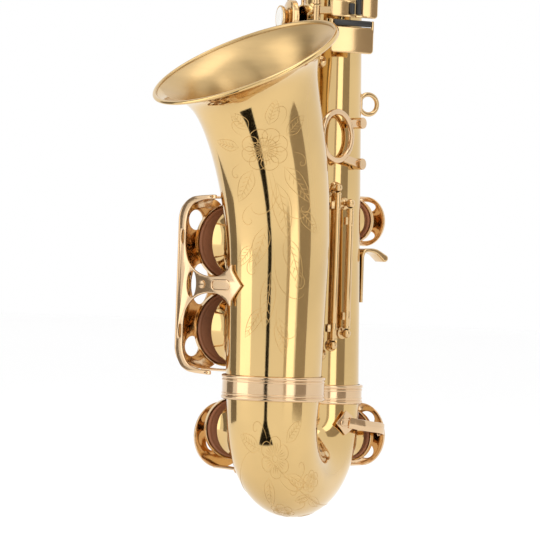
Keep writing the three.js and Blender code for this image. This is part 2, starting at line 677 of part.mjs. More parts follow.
// The brace: a ring between bell and body, a stem to the bell, and two arms to screwed barrels.
const BRACE = {
  centre: new THREE.Vector3(18, -30, 247), bearing: 75.6, ringR: 15.6, wireR: 2,
  barrels: [256.8, 230.2], barrelBearing: 75, barrelR: 3.7,
};
function brace() {
  const { centre, ringR } = BRACE;
  const a = rad(BRACE.bearing);
  const out = new THREE.Vector3(Math.sin(a), -Math.cos(a), 0);
  const up = new THREE.Vector3(0, 0, 1);
  const back = new THREE.Vector3().crossVectors(up, out);
  const onRing = (angle) =>
    centre
      .clone()
      .addScaledVector(back, ringR * Math.cos(rad(angle)))
      .addScaledVector(up, ringR * Math.sin(rad(angle)));
  const ring = placed(
    welded(new THREE.TorusGeometry(ringR, BRACE.wireR, 6, 18)),
    new THREE.Matrix4().makeBasis(back, up, out).setPosition(centre),
  );
  const barrels = BRACE.barrels.map((z) => {
    const from = around(bodyTube, BRACE.barrelBearing, bodyRadius(z) + 0.5, z);
    return bar(from, around(bodyTube, BRACE.barrelBearing, bodyRadius(z) + 7.4, z), BRACE.barrelR, 10);
  });
  const arms = BRACE.barrels.map((z) =>
    strap(onRing(z > centre.z ? 34 : -62), around(bodyTube, BRACE.barrelBearing, bodyRadius(z) + 4, z), 5, 3),
  );
  const stemEnd = new THREE.Vector3(8.9, -54.9, centre.z);
  return join(ring, ...barrels, ...arms, bar(stemEnd, onRing(180), 2.6, 8));
}
add("bell_brace", geometryOf(brace()), keyBrass);

// The strap ring stands edge-on to the body, on a small block.
function strapRing() {
  const { bearing, z, reach, ringR, wireR } = STRAP_RING;
  const edgeOn = facing(bodyTube, bearing, reach, z).multiply(new THREE.Matrix4().makeRotationY(Math.PI / 2));
  const ring = placed(welded(new THREE.TorusGeometry(ringR, wireR, 6, 16)), edgeOn);
  const root = placed(
    welded(new THREE.BoxGeometry(7, 13, 1.6)),
    facing(bodyTube, bearing, bodyRadius(z) + 1.5, z),
  );
  return join(ring, root);
}
add("strap_ring", geometryOf(strapRing()), keyBrass);

// The right thumb's hook: an upright plate that curls over into a lip.
function thumbHook() {
  const side = new THREE.Shape();
  side.moveTo(0, 0);
  side.lineTo(2, 0);
  side.lineTo(2, 30);
  side.quadraticCurveTo(2.6, 33, 6, 33.4);
  side.quadraticCurveTo(11, 33.4, 16.5, 27.6);
  side.absarc(17.6, 29.6, 2.4, 1.3 * Math.PI, 2.3 * Math.PI);
  side.quadraticCurveTo(12, 36.4, 5.6, 35.8);
  side.quadraticCurveTo(0.4, 35.4, 0, 31);
  side.closePath();
  const at = facing(bodyTube, 140, bodyRadius(156) + 0.9, 140);
  return placed(plate(side, 13, 4), at.multiply(new THREE.Matrix4().makeRotationY(-Math.PI / 2)));
}
add("thumb_hook", thumbHook(), keyBrass);

// The left thumb's rest: a round button with a flat face.
const THUMB_REST = { bearing: 178, z: 418, faceReach: 26.5, radius: 8.5 };
function thumbRest() {
  const { bearing, z, faceReach, radius } = THUMB_REST;
  const foot = bodyRadius(z) + 1.2 - faceReach;
  const outline = [[0, foot], [3.4, foot], [3.4, -3], [radius, -2.4], [radius, 0], [0, 0]];
  return placed(turned(outline, 20), facing(bodyTube, bearing, faceReach, z));
}
add("thumb_rest", thumbRest(), blackNylon);

// ---------------------------------------------------------------- moving groups

// A group that turns about an axis through a point. Its meshes are given in the instrument's frame.
function turning(name, point, axis, range, more = {}, parent = sax) {
  const group = new THREE.Group();
  group.position.copy(parent === sax ? point : point.clone().sub(parent.position));
  group.userData.joint = { name, axis, range, ...more };
  group.userData.at = point;
  parent.add(group);
  return group;
}

function addMoving(group, name, geometry, material) {
  const { x, y, z } = group.userData.at;
  add(name, geometry.translate(-x, -y, -z), material, group);
}

// ---------------------------------------------------------------- the left little finger's table

// Each touch swings on one upright hinge line beside the body, and follows the key it opens. from and to
// are the plate's corners, measured across and upwards on the table. roller: the edge that has a roller.
const TOUCHES = [
  { name: "b_flat", follows: "low_b_flat", tube: [299, 318], from: [-15, 301], to: [15, 318], roller: "top" },
  { name: "c_sharp", follows: "low_c_sharp", tube: [318.6, 331.4], from: [-15.3, 324], to: [-2.9, 335], roller: "right" },
  { name: "b", follows: "low_b", tube: [332, 345.6], from: [6.4, 324], to: [17.4, 346], armZ: 340, roller: "left" },
  { name: "g_sharp", follows: "g_sharp", tube: [350, 364], from: [-15.5, 349.5], to: [16, 364] },
];
const TOUCH_PRESS = 7; // degrees

// The turn of a touch or lever that follows a key. Pressing it shuts a key that stands open, and opens
// one that is sprung shut.
function following(keyName) {
  const key = KEYS.find(({ name }) => name === keyName);
  const ratio = ((key.nudge === undefined ? -1 : 1) * TOUCH_PRESS) / key.lift;
  const range = swing(key).map((angle) => angle * ratio).sort((a, b) => a - b);
  return { range, link: { follows: key.name + "_hinge", ratio } };
}

// Where a roller lies on a plate's edge: its middle, its half length and whether it is upright.
function rollerPlace({ from, to, roller }) {
  const off = GAP + ROLLER.radius;
  const middle = [(from[0] + to[0]) / 2, (from[1] + to[1]) / 2];
  if (roller === "top") return { x: middle[0], y: to[1] + off, half: (to[0] - from[0]) / 2, upright: false };
  const x = roller === "left" ? from[0] - off : to[0] + off;
  return { x, y: middle[1], half: (to[1] - from[1]) / 2, upright: true };
}

const onTable = facing(bodyTube, TABLE.bearing, TABLE.reach, 0);
function addTouch(touch) {
  const { name, follows, tube, from, to } = touch;
  const hinge = around(bodyTube, ...TABLE.hinge, 0);
  const armZ = touch.armZ ?? THREE.MathUtils.clamp((from[1] + to[1]) / 2, tube[0] + 3.2, tube[1] - 3.2);
  const target = new THREE.Vector3(Math.max(from[0] + 4.6, -6), armZ, -1.2).applyMatrix4(onTable);
  const pieces = [
    placed(plate(roundedRect(...from, ...to, 2), TABLE.plateThick, 2), onTable),
    rodAlongZ(TUBE.outer, ...tube, 8).translate(hinge.x, hinge.y, 0),
    strap(hinge.clone().setZ(armZ), target, 5, 2),
  ];
  const { range, link } = following(follows);
  const group = turning(name + "_touch_hinge", hinge, [0, 0, 1], range, link);
  if (touch.roller) {
    const { x, y, half, upright } = rollerPlace(touch);
    for (const sign of [1, -1]) {
      const along = sign * (half - ROLLER.ear / 2);
      const size = upright ? [8, ROLLER.ear, 2] : [ROLLER.ear, 8, 2];
      const inward = touch.roller === "left" ? 2 : -2;
      const shift = upright ? [x + inward, y + along] : [x + along, y - 2];
      pieces.push(placed(welded(new THREE.BoxGeometry(...size)).translate(...shift, 0), onTable));
    }
    const halfRoller = half - ROLLER.ear - GAP;
    const axis = upright ? new THREE.Vector3(0, 0, 1) : sideways(TABLE.bearing);
    const centre = new THREE.Vector3(x, y, 0).applyMatrix4(onTable);
    const rollerGroup = turning(name + "_roller_spin", centre, axis.toArray(), [-180, 180], { continuous: true }, group);
    const ends = [-1, 1].map((sign) => centre.clone().addScaledVector(axis, sign * halfRoller));
    addMoving(rollerGroup, name + "_roller", bar(...ends, ROLLER.radius, 12), blackNylon);
  }
  addMoving(group, name + "_touch", geometryOf(join(...pieces)), keyBrass);
}
for (const touch of TOUCHES) addTouch(touch);

for (const { name, hinge, posts, on } of LEVERS) {
  const [bearing, reach] = hinge;
  const foot = around(on, bearing, reach, 0);
  const [z0, z1] = [posts[0] + POST.head + GAP, posts[1] - POST.head - GAP];
  const arms = [z0 + 8, z1 - 8].map((z) =>
    strap(foot.clone().setZ(z), around(on, bearing - 8, reach + 1, z), 5, 2),
  );
  const sleeve = rodAlongZ(TUBE.outer, z0, z1, 8).translate(foot.x, foot.y, 0);
  const { range, link } = following(name.replace("_lever", ""));
  const group = turning(name + "_turn", foot, [0, 0, 1], range, link);
  addMoving(group, name, geometryOf(join(sleeve, ...arms)), keyBrass);
}

// ---------------------------------------------------------------- neck

// The socket that takes the neck, split at the back and pinched by a thumbscrew.
function neckReceiver() {
  const sleeve = tubeWall(15.6, NECK.tenonR + 0.6, BODY.topZ + GAP, 584, 24);
  const collar = tubeWall(17, 14.6, 579, 584, 24);
  const lugs = welded(new THREE.BoxGeometry(9, 9, 14)).translate(0, 18.5, 572);
  const slit = welded(new THREE.BoxGeometry(1.6, 20, 30)).translate(0, 20, 574);
  const screwHole = rodAlongZ(2.2, -10, 10, 10).rotateY(Math.PI / 2).translate(0, 19.6, 570);
  return [slit, screwHole].reduce((made, cut) => made.subtract(solid(cut)), join(sleeve, collar, lugs));
}
add("neck_receiver", geometryOf(neckReceiver()), keyBrass);

function neckScrew() {
  const shaft = rodAlongZ(1.8, -5.6, 8, 8);
  const wing = welded(new THREE.BoxGeometry(2.2, 8, 9)).translate(0, 0, 10.5);
  return geometryOf(join(shaft, wing)).rotateY(Math.PI / 2).translate(0, 19.6, 570);
}
const neckScrewAt = new THREE.Vector3(0, 19.6, 570);
const neckScrewGroup = turning("neck_screw_turn", neckScrewAt, [1, 0, 0], [-180, 180], { continuous: true });
addMoving(neckScrewGroup, "neck_screw", neckScrew(), keyBrass);

// The neck's axis: up, then bent over backwards. Its frame's y points to the inside of the bend.
const neckArc = NECK.bendR * rad(NECK.bend);
const neckLength = NECK.rise + neckArc + NECK.run;
function neckFrame(s) {
  const turn = THREE.MathUtils.clamp((s - NECK.rise) / NECK.bendR, 0, rad(NECK.bend));
  const after = Math.max(s - NECK.rise - neckArc, 0);
  const y = NECK.bendR * (1 - Math.cos(turn)) + after * Math.sin(turn);
  const z = NECK.tenonZ + Math.min(s, NECK.rise) + NECK.bendR * Math.sin(turn) + after * Math.cos(turn);
  return {
    centre: new THREE.Vector3(0, y, z),
    x: new THREE.Vector3(1, 0, 0),
    y: new THREE.Vector3(0, Math.cos(turn), -Math.sin(turn)),
  };
}
const neckRadius = (s) => NECK.tenonR - ((NECK.tenonR - NECK.endR) * s) / neckLength;

// A point on the outside of the neck's bend, dx to its left.
function onNeck(s, reach, dx = 0) {
  const { centre, x, y } = neckFrame(s);
  return centre.addScaledVector(y, -reach).addScaledVector(x, dx);
}
const bentNeck = (outline, sides) => bent(turned(outline, sides), neckFrame);

const OCTAVE_KEY = { hingeS: 66, above: 5, ventS: 106, ringR: 18, wire: 1.5, ringZ: 590.6 };
function neckTube() {
  const lengths = [0, ...steps(NECK.rise, NECK.rise + neckArc, 7), neckLength];
  const wall = (inset, extra) => {
    const last = lengths.length - 1;
    const at = (i) => lengths[i] + (i === 0 ? -extra : 0) + (i === last ? extra : 0);
    return solid(bent(tapered((s) => neckRadius(s) - inset, lengths.map((_, i) => at(i)), 14), neckFrame));
  };
  const collar = tubeWall(14.6, 11, 584.3, 588, 24);
  const { hingeS, above, ventS } = OCTAVE_KEY;
  const posts = [-6.4, 6.4].map((dx) =>
    bar(onNeck(hingeS, neckRadius(hingeS) - 4, dx), onNeck(hingeS, neckRadius(hingeS) + above, dx), 1.7, 8),
  );
  const vent = bar(onNeck(ventS, neckRadius(ventS) - 0.8), onNeck(ventS, neckRadius(ventS) + 2.4), 2.4, 10);
  return wall(0, 0).add(join(collar, ...posts, vent)).subtract(wall(SHEET, 1));
}

const neckAt = new THREE.Vector3(0, 0, NECK.tenonZ);
const neckGroup = turning("neck_turn", neckAt, [0, 0, 1], [-15, 15], { friction: true });
addMoving(neckGroup, "neck_tube", geometryOf(neckTube()), lacquer);

const corkStart = neckLength - NECK.corkLength;
const corkInner = neckRadius(corkStart) + GAP;
const corkOutline = [[corkInner, corkStart], [NECK.corkR, corkStart + 1.5], [NECK.corkR, neckLength]];
const corkRing = [...corkOutline, [corkInner, neckLength], [corkInner, corkStart]];
addMoving(neckGroup, "neck_cork", bentNeck(corkRing, 20), corkwood);

// The octave key on the neck: a loop round the tenon, an arm over the bend, and a pad on the vent.
function neckOctaveKey() {
  const { hingeS, above, ventS, ringR, wire, ringZ } = OCTAVE_KEY;
  const hingeReach = neckRadius(hingeS) + above;
  const sideAxis = new THREE.Vector3(1, 0, 0);
  const loop = welded(new THREE.TorusGeometry(ringR, wire, 5, 18)).translate(0, 0, ringZ);
  const points = [
    new THREE.Vector3(0, -ringR, ringZ),
    onNeck(46, ringR - 0.5),
    onNeck(hingeS, hingeReach),
    onNeck(86, neckRadius(86) + 5.5),
    onNeck(ventS, neckRadius(ventS) + 6),
  ];
  const arms = points.slice(1).map((point, i) => strap(points[i], point, 5, 2, sideAxis));
  const barrel = bar(onNeck(hingeS, hingeReach, -4.4), onNeck(hingeS, hingeReach, 4.4), 2.3, 8);
  const padCup = bar(onNeck(ventS, neckRadius(ventS) + 2.8), onNeck(ventS, neckRadius(ventS) + 7), 5, 12);
  return join(loop, ...arms, barrel, padCup);
}
const octaveKeyAt = onNeck(OCTAVE_KEY.hingeS, neckRadius(OCTAVE_KEY.hingeS) + OCTAVE_KEY.above);
const octaveKeyJoint = { follows: "octave_lever_hinge", ratio: 1 };
const octaveKeyGroup = turning("neck_octave_hinge", octaveKeyAt, [1, 0, 0], [0, 2.5], octaveKeyJoint, neckGroup);
addMoving(octaveKeyGroup, "neck_octave_key", geometryOf(neckOctaveKey()), keyBrass);

// The octave lever: a thumb plate, a barrel, and a rod up to just below the neck's loop.
function octaveLever() {
  const { bearing, reach, z, halfBarrel, pinTop } = OCTAVE;
  const centre = around(bodyTube, bearing, reach, z);
  const side = sideways(bearing).multiplyScalar(halfBarrel);
  const thumbPlace = facing(bodyTube, 196, 25, 439);
  return join(
    bar(centre.clone().sub(side), centre.clone().add(side), 2.3, 8),
    placed(plate(roundedRect(-7.5, -8, 7.5, 8, 4), 2, 3), thumbPlace),
    strap(centre, around(bodyTube, 197, 25, 445), 5, 2, sideways(bearing)),
    bar(centre, around(bodyTube, bearing, reach, pinTop), 1.5, 8),
  );
}
const octaveAt = around(bodyTube, OCTAVE.bearing, OCTAVE.reach, OCTAVE.z);
const octaveAxis = sideways(OCTAVE.bearing).toArray();
const octaveGroup = turning("octave_lever_hinge", octaveAt, octaveAxis, [0, 2.5]);
addMoving(octaveGroup, "octave_lever", geometryOf(octaveLever()), keyBrass);

// ---------------------------------------------------------------- mouthpiece

// Along the neck's end: +Z towards the player, +Y up, z = 0 at the shank's end.
const { x: across, y: inside } = neckFrame(neckLength);
const shankEnd = onNeck(neckLength - MOUTHPIECE.overCork, 0);
const forward = new THREE.Vector3().crossVectors(across, inside);
const mouthpiecePlace = new THREE.Matrix4()
  .makeBasis(across.clone().negate(), inside.clone().negate(), forward)
  .setPosition(shankEnd);

function mouthpiece() {
  const { length, boreR, overCork, tableY } = MOUTHPIECE;
  const outline = [[0, 0], [11, 0], [11, 8], [10.4, 10], [12, 22], [12.4, 50], [11, length], [0, length]];
  const slope = welded(new THREE.BoxGeometry(40, 20, 60))
    .translate(0, 10, 0)
    .rotateX(0.36)
    .translate(0, 4.6, 66);
  const flat = welded(new THREE.BoxGeometry(40, 10, 90)).translate(0, tableY - 5, 45 + 18);
  const bore = turned([[0, -1], [boreR, -1], [boreR, overCork + 1.5], [6.2, overCork + 2], [6.2, 60], [0, 60]], 16);
  const window = welded(new THREE.BoxGeometry(10.4, 8, 30)).translate(0, tableY + 2, 68);
  const cuts = [slope, flat, bore, window].map(solid);
  return geometryOf(cuts.reduce((made, cut) => made.subtract(cut), solid(turned(outline, 18))));
}
addMoving(neckGroup, "mouthpiece", placed(mouthpiece(), mouthpiecePlace), ebonite);

function reed() {
  const { length, tableY, reedThick } = MOUTHPIECE;
  const side = new THREE.Shape();
  side.moveTo(20, 0);
  side.lineTo(length - 0.5, 0);
  side.lineTo(length - 0.5, -0.4);
  side.lineTo(54, -reedThick);
  side.lineTo(20, -reedThick);
  side.closePath();
  return plate(side, 12.4, 2).rotateY(-Math.PI / 2).translate(0, tableY - GAP, 0);
}
addMoving(neckGroup, "reed", placed(reed(), mouthpiecePlace), cane);

// The ligature: a band round the mouthpiece and reed, with lugs for its two screws.
function ligature() {
  const band = tubeWall(14.9, 14, 24, 46, 18);
  const lugs = [-2.4, 2.4].map((dx) => welded(new THREE.BoxGeometry(1.8, 6, 20)).translate(dx, -16.6, 35));
  const slit = welded(new THREE.BoxGeometry(3, 8, 26)).translate(0, -16, 35);
  const screws = [29, 41].map((z) => rodAlongZ(1.4, -6, 9, 8).rotateY(Math.PI / 2).translate(0, -17.4, z));
  return geometryOf(join(band, ...lugs).subtract(solid(slit)).add(join(...screws)));
}
addMoving(neckGroup, "ligature", placed(ligature(), mouthpiecePlace), keyBrass);

// ---------------------------------------------------------------- the exported frame

const part = new THREE.Group();
const ringCentre = around(bodyTube, STRAP_RING.bearing, STRAP_RING.reach, STRAP_RING.z);
sax.position.copy(ringCentre).negate();
part.add(sax);

export default part;
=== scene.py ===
import json
import math

import bmesh
import bpy
import numpy as np
from mathutils import Matrix, Vector


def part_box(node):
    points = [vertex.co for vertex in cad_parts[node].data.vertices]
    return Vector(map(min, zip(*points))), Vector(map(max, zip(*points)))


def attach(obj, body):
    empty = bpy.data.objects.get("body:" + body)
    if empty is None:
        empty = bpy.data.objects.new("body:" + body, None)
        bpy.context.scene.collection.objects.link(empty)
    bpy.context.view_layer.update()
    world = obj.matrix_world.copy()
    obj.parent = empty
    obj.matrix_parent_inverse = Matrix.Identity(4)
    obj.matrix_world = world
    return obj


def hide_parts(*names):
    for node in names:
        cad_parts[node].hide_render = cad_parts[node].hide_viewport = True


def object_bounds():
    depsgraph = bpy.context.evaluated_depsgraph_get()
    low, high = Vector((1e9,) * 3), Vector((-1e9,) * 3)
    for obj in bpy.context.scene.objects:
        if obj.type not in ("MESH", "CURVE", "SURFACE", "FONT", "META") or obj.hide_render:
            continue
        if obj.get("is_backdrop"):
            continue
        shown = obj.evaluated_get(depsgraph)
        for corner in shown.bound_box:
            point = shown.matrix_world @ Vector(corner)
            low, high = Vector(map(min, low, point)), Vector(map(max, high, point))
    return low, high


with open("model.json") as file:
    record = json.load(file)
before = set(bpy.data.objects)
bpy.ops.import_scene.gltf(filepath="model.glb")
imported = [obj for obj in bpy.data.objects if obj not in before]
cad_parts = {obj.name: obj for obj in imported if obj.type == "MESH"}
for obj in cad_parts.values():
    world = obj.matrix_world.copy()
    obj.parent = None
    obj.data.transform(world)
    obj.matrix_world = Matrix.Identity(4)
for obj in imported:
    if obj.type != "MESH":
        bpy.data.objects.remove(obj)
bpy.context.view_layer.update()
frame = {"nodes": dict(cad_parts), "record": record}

MM = 0.001

# The instrument's origin in the row frame, found from the ring where body and bow meet.
FERRULE_BOTTOM = 73.7
_low, _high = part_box("body_ferrule")
ORIGIN = Vector(((_low.x + _high.x) / 2, (_low.y + _high.y) / 2, _low.z - FERRULE_BOTTOM * MM))

# ---------------------------------------------------------------- dimensions, as in the frame

SHEET = 1.0
BELL_Y = -78.0
BODY_BOTTOM, BODY_TOP = 80.0, 560.0
BOW_CENTRE_Z, BOW_BEND = 66.5, 39.0
BOW_LEGS = (79.7 - BOW_CENTRE_Z, 85.6 - BOW_CENTRE_Z)
BOW_LENGTH = BOW_LEGS[0] + math.pi * BOW_BEND + BOW_LEGS[1]
BELL_BOTTOM, BELL_STRAIGHT, BELL_ARC = 86.0, 77.5, 130.0
BELL_LENGTH = BELL_STRAIGHT + BELL_ARC
BELL_BEND, BELL_LEAN = math.radians(28.8), math.radians(-25.1)
HINGE_R = 2.5
BALL_R = 3.0


def body_radius(z):
    return 25.0 - (z - 86.0) * 0.02447


def bell_radius(u):
    return 28.3 + 13.0 * np.exp(-u / 105.0) + 20.2 * np.exp(-u / 8.0)


def bow_setback(z):
    return BOW_BEND * (1 - math.sqrt(1 - (max(BOW_CENTRE_Z - z, 0) / BOW_BEND) ** 2))


class Tube:
    """A tube's axis and radius at a height."""

    def __init__(self, y, radius):
        self.y, self.radius = y, radius


BODY = Tube(lambda z: 0.0, body_radius)
BELL = Tube(lambda z: BELL_Y, lambda z: float(bell_radius(BELL_LENGTH - (z - BELL_BOTTOM))))
BOW_BODY_SIDE = Tube(lambda z: -bow_setback(z), lambda z: 25.7)
BOW_BELL_SIDE = Tube(lambda z: BELL_Y + bow_setback(z), lambda z: 28.8)


def around(tube, bearing, reach, z):
    a = math.radians(bearing)
    return Vector((reach * math.sin(a), tube.y(z) - reach * math.cos(a), z))


def facing(tube, bearing, reach, z):
    """Places a thing so that its +Z faces out of the tube and its +Y points up."""
    a = math.radians(bearing)
    out = Vector((math.sin(a), -math.cos(a), 0))
    up = Vector((0, 0, 1))
    side = up.cross(out)
    m = Matrix((side, up, out)).transposed().to_4x4()
    m.translation = around(tube, bearing, reach, z)
    return m


def sideways(bearing):
    a = math.radians(bearing)
    return Vector((math.cos(a), math.sin(a), 0))


# ---------------------------------------------------------------- mesh kit: a shape is (points, faces)


def join(*shapes):
    points, faces, start = [], [], 0
    for p, f in shapes:
        points.append(np.asarray(p, float).reshape(-1, 3))
        faces += [[i + start for i in face] for face in f]
        start += len(points[-1])
    return np.vstack(points), faces


def moved(shape, matrix):
    points, faces = shape
    m = np.array(matrix)
    return np.asarray(points) @ m[:3, :3].T + m[:3, 3], faces


def shifted(shape, x, y, z):
    return np.asarray(shape[0]) + np.array((x, y, z)), shape[1]


def strip(rows, columns, wrap=True, loop=False):
    """Faces of a grid of points: rows of columns."""
    faces = []
    last_row = rows if loop else rows - 1
    last = columns if wrap else columns - 1
    for r in range(last_row):
        for c in range(last):
            a, b = r * columns + c, r * columns + (c + 1) % columns
            d, e = ((r + 1) % rows) * columns + c, ((r + 1) % rows) * columns + (c + 1) % columns
            faces.append([a, b, e, d])
    return faces


def lathe(profile, sides=48, loop=False):
    """A body of revolution about +Z from (radius, z) points."""
    angles = np.linspace(0, 2 * math.pi, sides, endpoint=False)
    ring = np.stack([np.cos(angles), np.sin(angles), np.zeros(sides)], 1)
    points = np.vstack([ring * r + np.array((0, 0, z)) for r, z in profile])
    return points, strip(len(profile), sides, loop=loop)


def rounded(points, radius=0.3, steps=3):
    """Rounds the corners of a (radius, z) profile."""
    out = []
    for i, p in enumerate(points):
        p = np.array(p, float)
        if i in (0, len(points) - 1):
            out.append(tuple(p))
            continue
        a, b = np.array(points[i - 1], float) - p, np.array(points[i + 1], float) - p
        la, lb = np.linalg.norm(a), np.linalg.norm(b)
        cut = min(radius, la * 0.45, lb * 0.45)
        start, end = p + a / la * cut, p + b / lb * cut
        for t in np.linspace(0, 1, steps + 1):
            out.append(tuple((1 - t) ** 2 * start + 2 * t * (1 - t) * p + t * t * end))
    return out


def circle(radius, sides=12):
    return [(radius * math.cos(a), radius * math.sin(a))
            for a in np.linspace(0, 2 * math.pi, sides, endpoint=False)]


def flat_section(width, thick, corner=0.35, steps=2):
    """A rounded rectangle, width along x and thickness along y."""
    corner = min(corner, thick / 2, width / 2)
    points = []
    for cx, cy, start in ((1, 1, 0), (-1, 1, 90), (-1, -1, 180), (1, -1, 270)):
        for t in np.linspace(0, 90, steps + 1):
            a = math.radians(start + t)
            points.append(
                (cx * (width / 2 - corner) + corner * math.cos(a),
                 cy * (thick / 2 - corner) + corner * math.sin(a))
            )
    return points


def smooth(points, count=8, closed=False):
    """A Catmull-Rom curve through the points."""
    p = [np.array(q, float) for q in points]
    n = len(p)
    out = []
    spans = n if closed else n - 1
    for i in range(spans):
        if closed:
            a, b, c, d = p[i - 1], p[i], p[(i + 1) % n], p[(i + 2) % n]
        else:
            b, c = p[i], p[i + 1]
            a = p[i - 1] if i else 2 * b - c
            d = p[i + 2] if i + 2 < n else 2 * c - b
        for t in np.linspace(0, 1, count, endpoint=False):
            square, cube = 2 * a - 5 * b + 4 * c - d, 3 * b - a - 3 * c + d
            out.append(0.5 * (2 * b + (c - a) * t + square * t * t + cube * t**3))
    if not closed:
        out.append(p[-1])
    return np.array(out)


def sweep(path, section, across=None, closed=False, scale=None):
    """Carries a section along a path. across, one vector or one for each point, is the section's x."""
    path = np.asarray([tuple(q) for q in path], float)
    n = len(path)
    if closed:
        tangents = np.roll(path, -1, 0) - np.roll(path, 1, 0)
    else:
        tangents = np.gradient(path, axis=0)
    tangents /= np.linalg.norm(tangents, axis=1)[:, None]
    if across is None:
        x = np.cross(tangents[0], (0.0, 0.0, 1.0) if abs(tangents[0][2]) < 0.9 else (1.0, 0.0, 0.0))
        xs = []
        for t in tangents:
            x = x - t * np.dot(x, t)
            x = x / np.linalg.norm(x)
            xs.append(x)
        xs = np.array(xs)
    else:
        xs = np.broadcast_to(np.asarray([tuple(a) for a in across]
                                        if np.ndim(across) > 1 else tuple(across), float), (n, 3))
        xs = xs - tangents * np.sum(xs * tangents, 1)[:, None]
        xs = xs / np.linalg.norm(xs, axis=1)[:, None]
    ys = np.cross(tangents, xs)
    section = np.asarray(section, float)
    size = np.ones((n, 2)) if scale is None else np.asarray(scale, float).reshape(n, -1) * np.ones((1, 2))
    points = np.vstack(
        [path[i] + np.outer(section[:, 0] * size[i, 0], xs[i]) + np.outer(section[:, 1] * size[i, 1], ys[i])
         for i in range(n)]
    )
    k = len(section)
    faces = strip(n, k, loop=closed)
    if not closed:
        faces += [list(range(k))[::-1], list(range((n - 1) * k, n * k))]
    return points, faces


def rod(a, b, radius, sides=20, edge=0.3):
    """A round bar between two points, with softened ends."""
    a, b = Vector(a), Vector(b)
    length = (b - a).length
    edge = min(edge, radius * 0.5, length * 0.3)
    profile = [(0, 0), (radius - edge, 0), (radius - edge * 0.3, edge * 0.3), (radius, edge)]
    profile += [(radius, length - edge), (radius - edge * 0.3, length - edge * 0.3),
                (radius - edge, length), (0, length)]
    turn = (b - a).to_track_quat("Z", "Y").to_matrix().to_4x4()
    return moved(lathe(profile, sides), Matrix.Translation(a) @ turn)


def ball(centre, radius, sides=20):
    angles = np.linspace(-math.pi / 2, math.pi / 2, sides // 2 + 1)
    return shifted(lathe([(radius * math.cos(a), radius * math.sin(a)) for a in angles], sides), *centre)


def torus(radius, wire, sides=48, section=14):
    ring = [(radius + wire * math.cos(a), wire * math.sin(a))
            for a in np.linspace(0, 2 * math.pi, section, endpoint=False)]
    return lathe(ring, sides, loop=True)


def plate(outline, holes=(), thick=1.4, bevel=0.35):
    """A flat plate in the XY plane with holes and rounded edges, centred on its thickness."""
    curve = bpy.data.curves.new("outline", "CURVE")
    curve.dimensions = "2D"
    curve.fill_mode = "BOTH"
    curve.extrude = max(thick / 2 - bevel, 0.01)
    curve.bevel_depth = bevel
    curve.bevel_resolution = 2
    curve.offset = -bevel
    for loop in (outline, *holes):
        spline = curve.splines.new("POLY")
        spline.points.add(len(loop) - 1)
        for point, (x, y) in zip(spline.points, loop):
            point.co = (x, y, 0, 1)
        spline.use_cyclic_u = True
    holder = bpy.data.objects.new("outline", curve)
    mesh = holder.to_mesh()
    points = np.array([v.co[:] for v in mesh.vertices])
    faces = [list(p.vertices) for p in mesh.polygons]
    holder.to_mesh_clear()
    bpy.data.objects.remove(holder)
    bpy.data.curves.remove(curve)
    return points, faces


def ellipse(x, y, rx, ry, n=32):
    return [(x + rx * math.cos(a), y + ry * math.sin(a))
            for a in np.linspace(0, 2 * math.pi, n, endpoint=False)]


def rounded_rect(x0, y0, x1, y1, r, n=6):
    points = []
    for cx, cy, start in ((x1 - r, y1 - r, 0), (x0 + r, y1 - r, 90), (x0 + r, y0 + r, 180),
                          (x1 - r, y0 + r, 270)):
        for t in np.linspace(0, 90, n):
            a = math.radians(start + t)
            points.append((cx + r * math.cos(a), cy + r * math.sin(a)))
    return points


def outline_through(points, count=8):
    """A smooth closed outline through points."""
    return [tuple(p) for p in smooth(points, count, closed=True)]


def bent(shape, axis_frame):
    """Bends a shape drawn along +Z so that its height follows axis_frame(z)."""
    points, faces = shape
    out = np.empty_like(points)
    cache = {}
    for i, (x, y, z) in enumerate(points):
        key = round(float(z), 5)
        if key not in cache:
            cache[key] = axis_frame(z)
        centre, ax, ay = cache[key]
        out[i] = centre + ax * x + ay * y
    return out, faces


# ---------------------------------------------------------------- materials


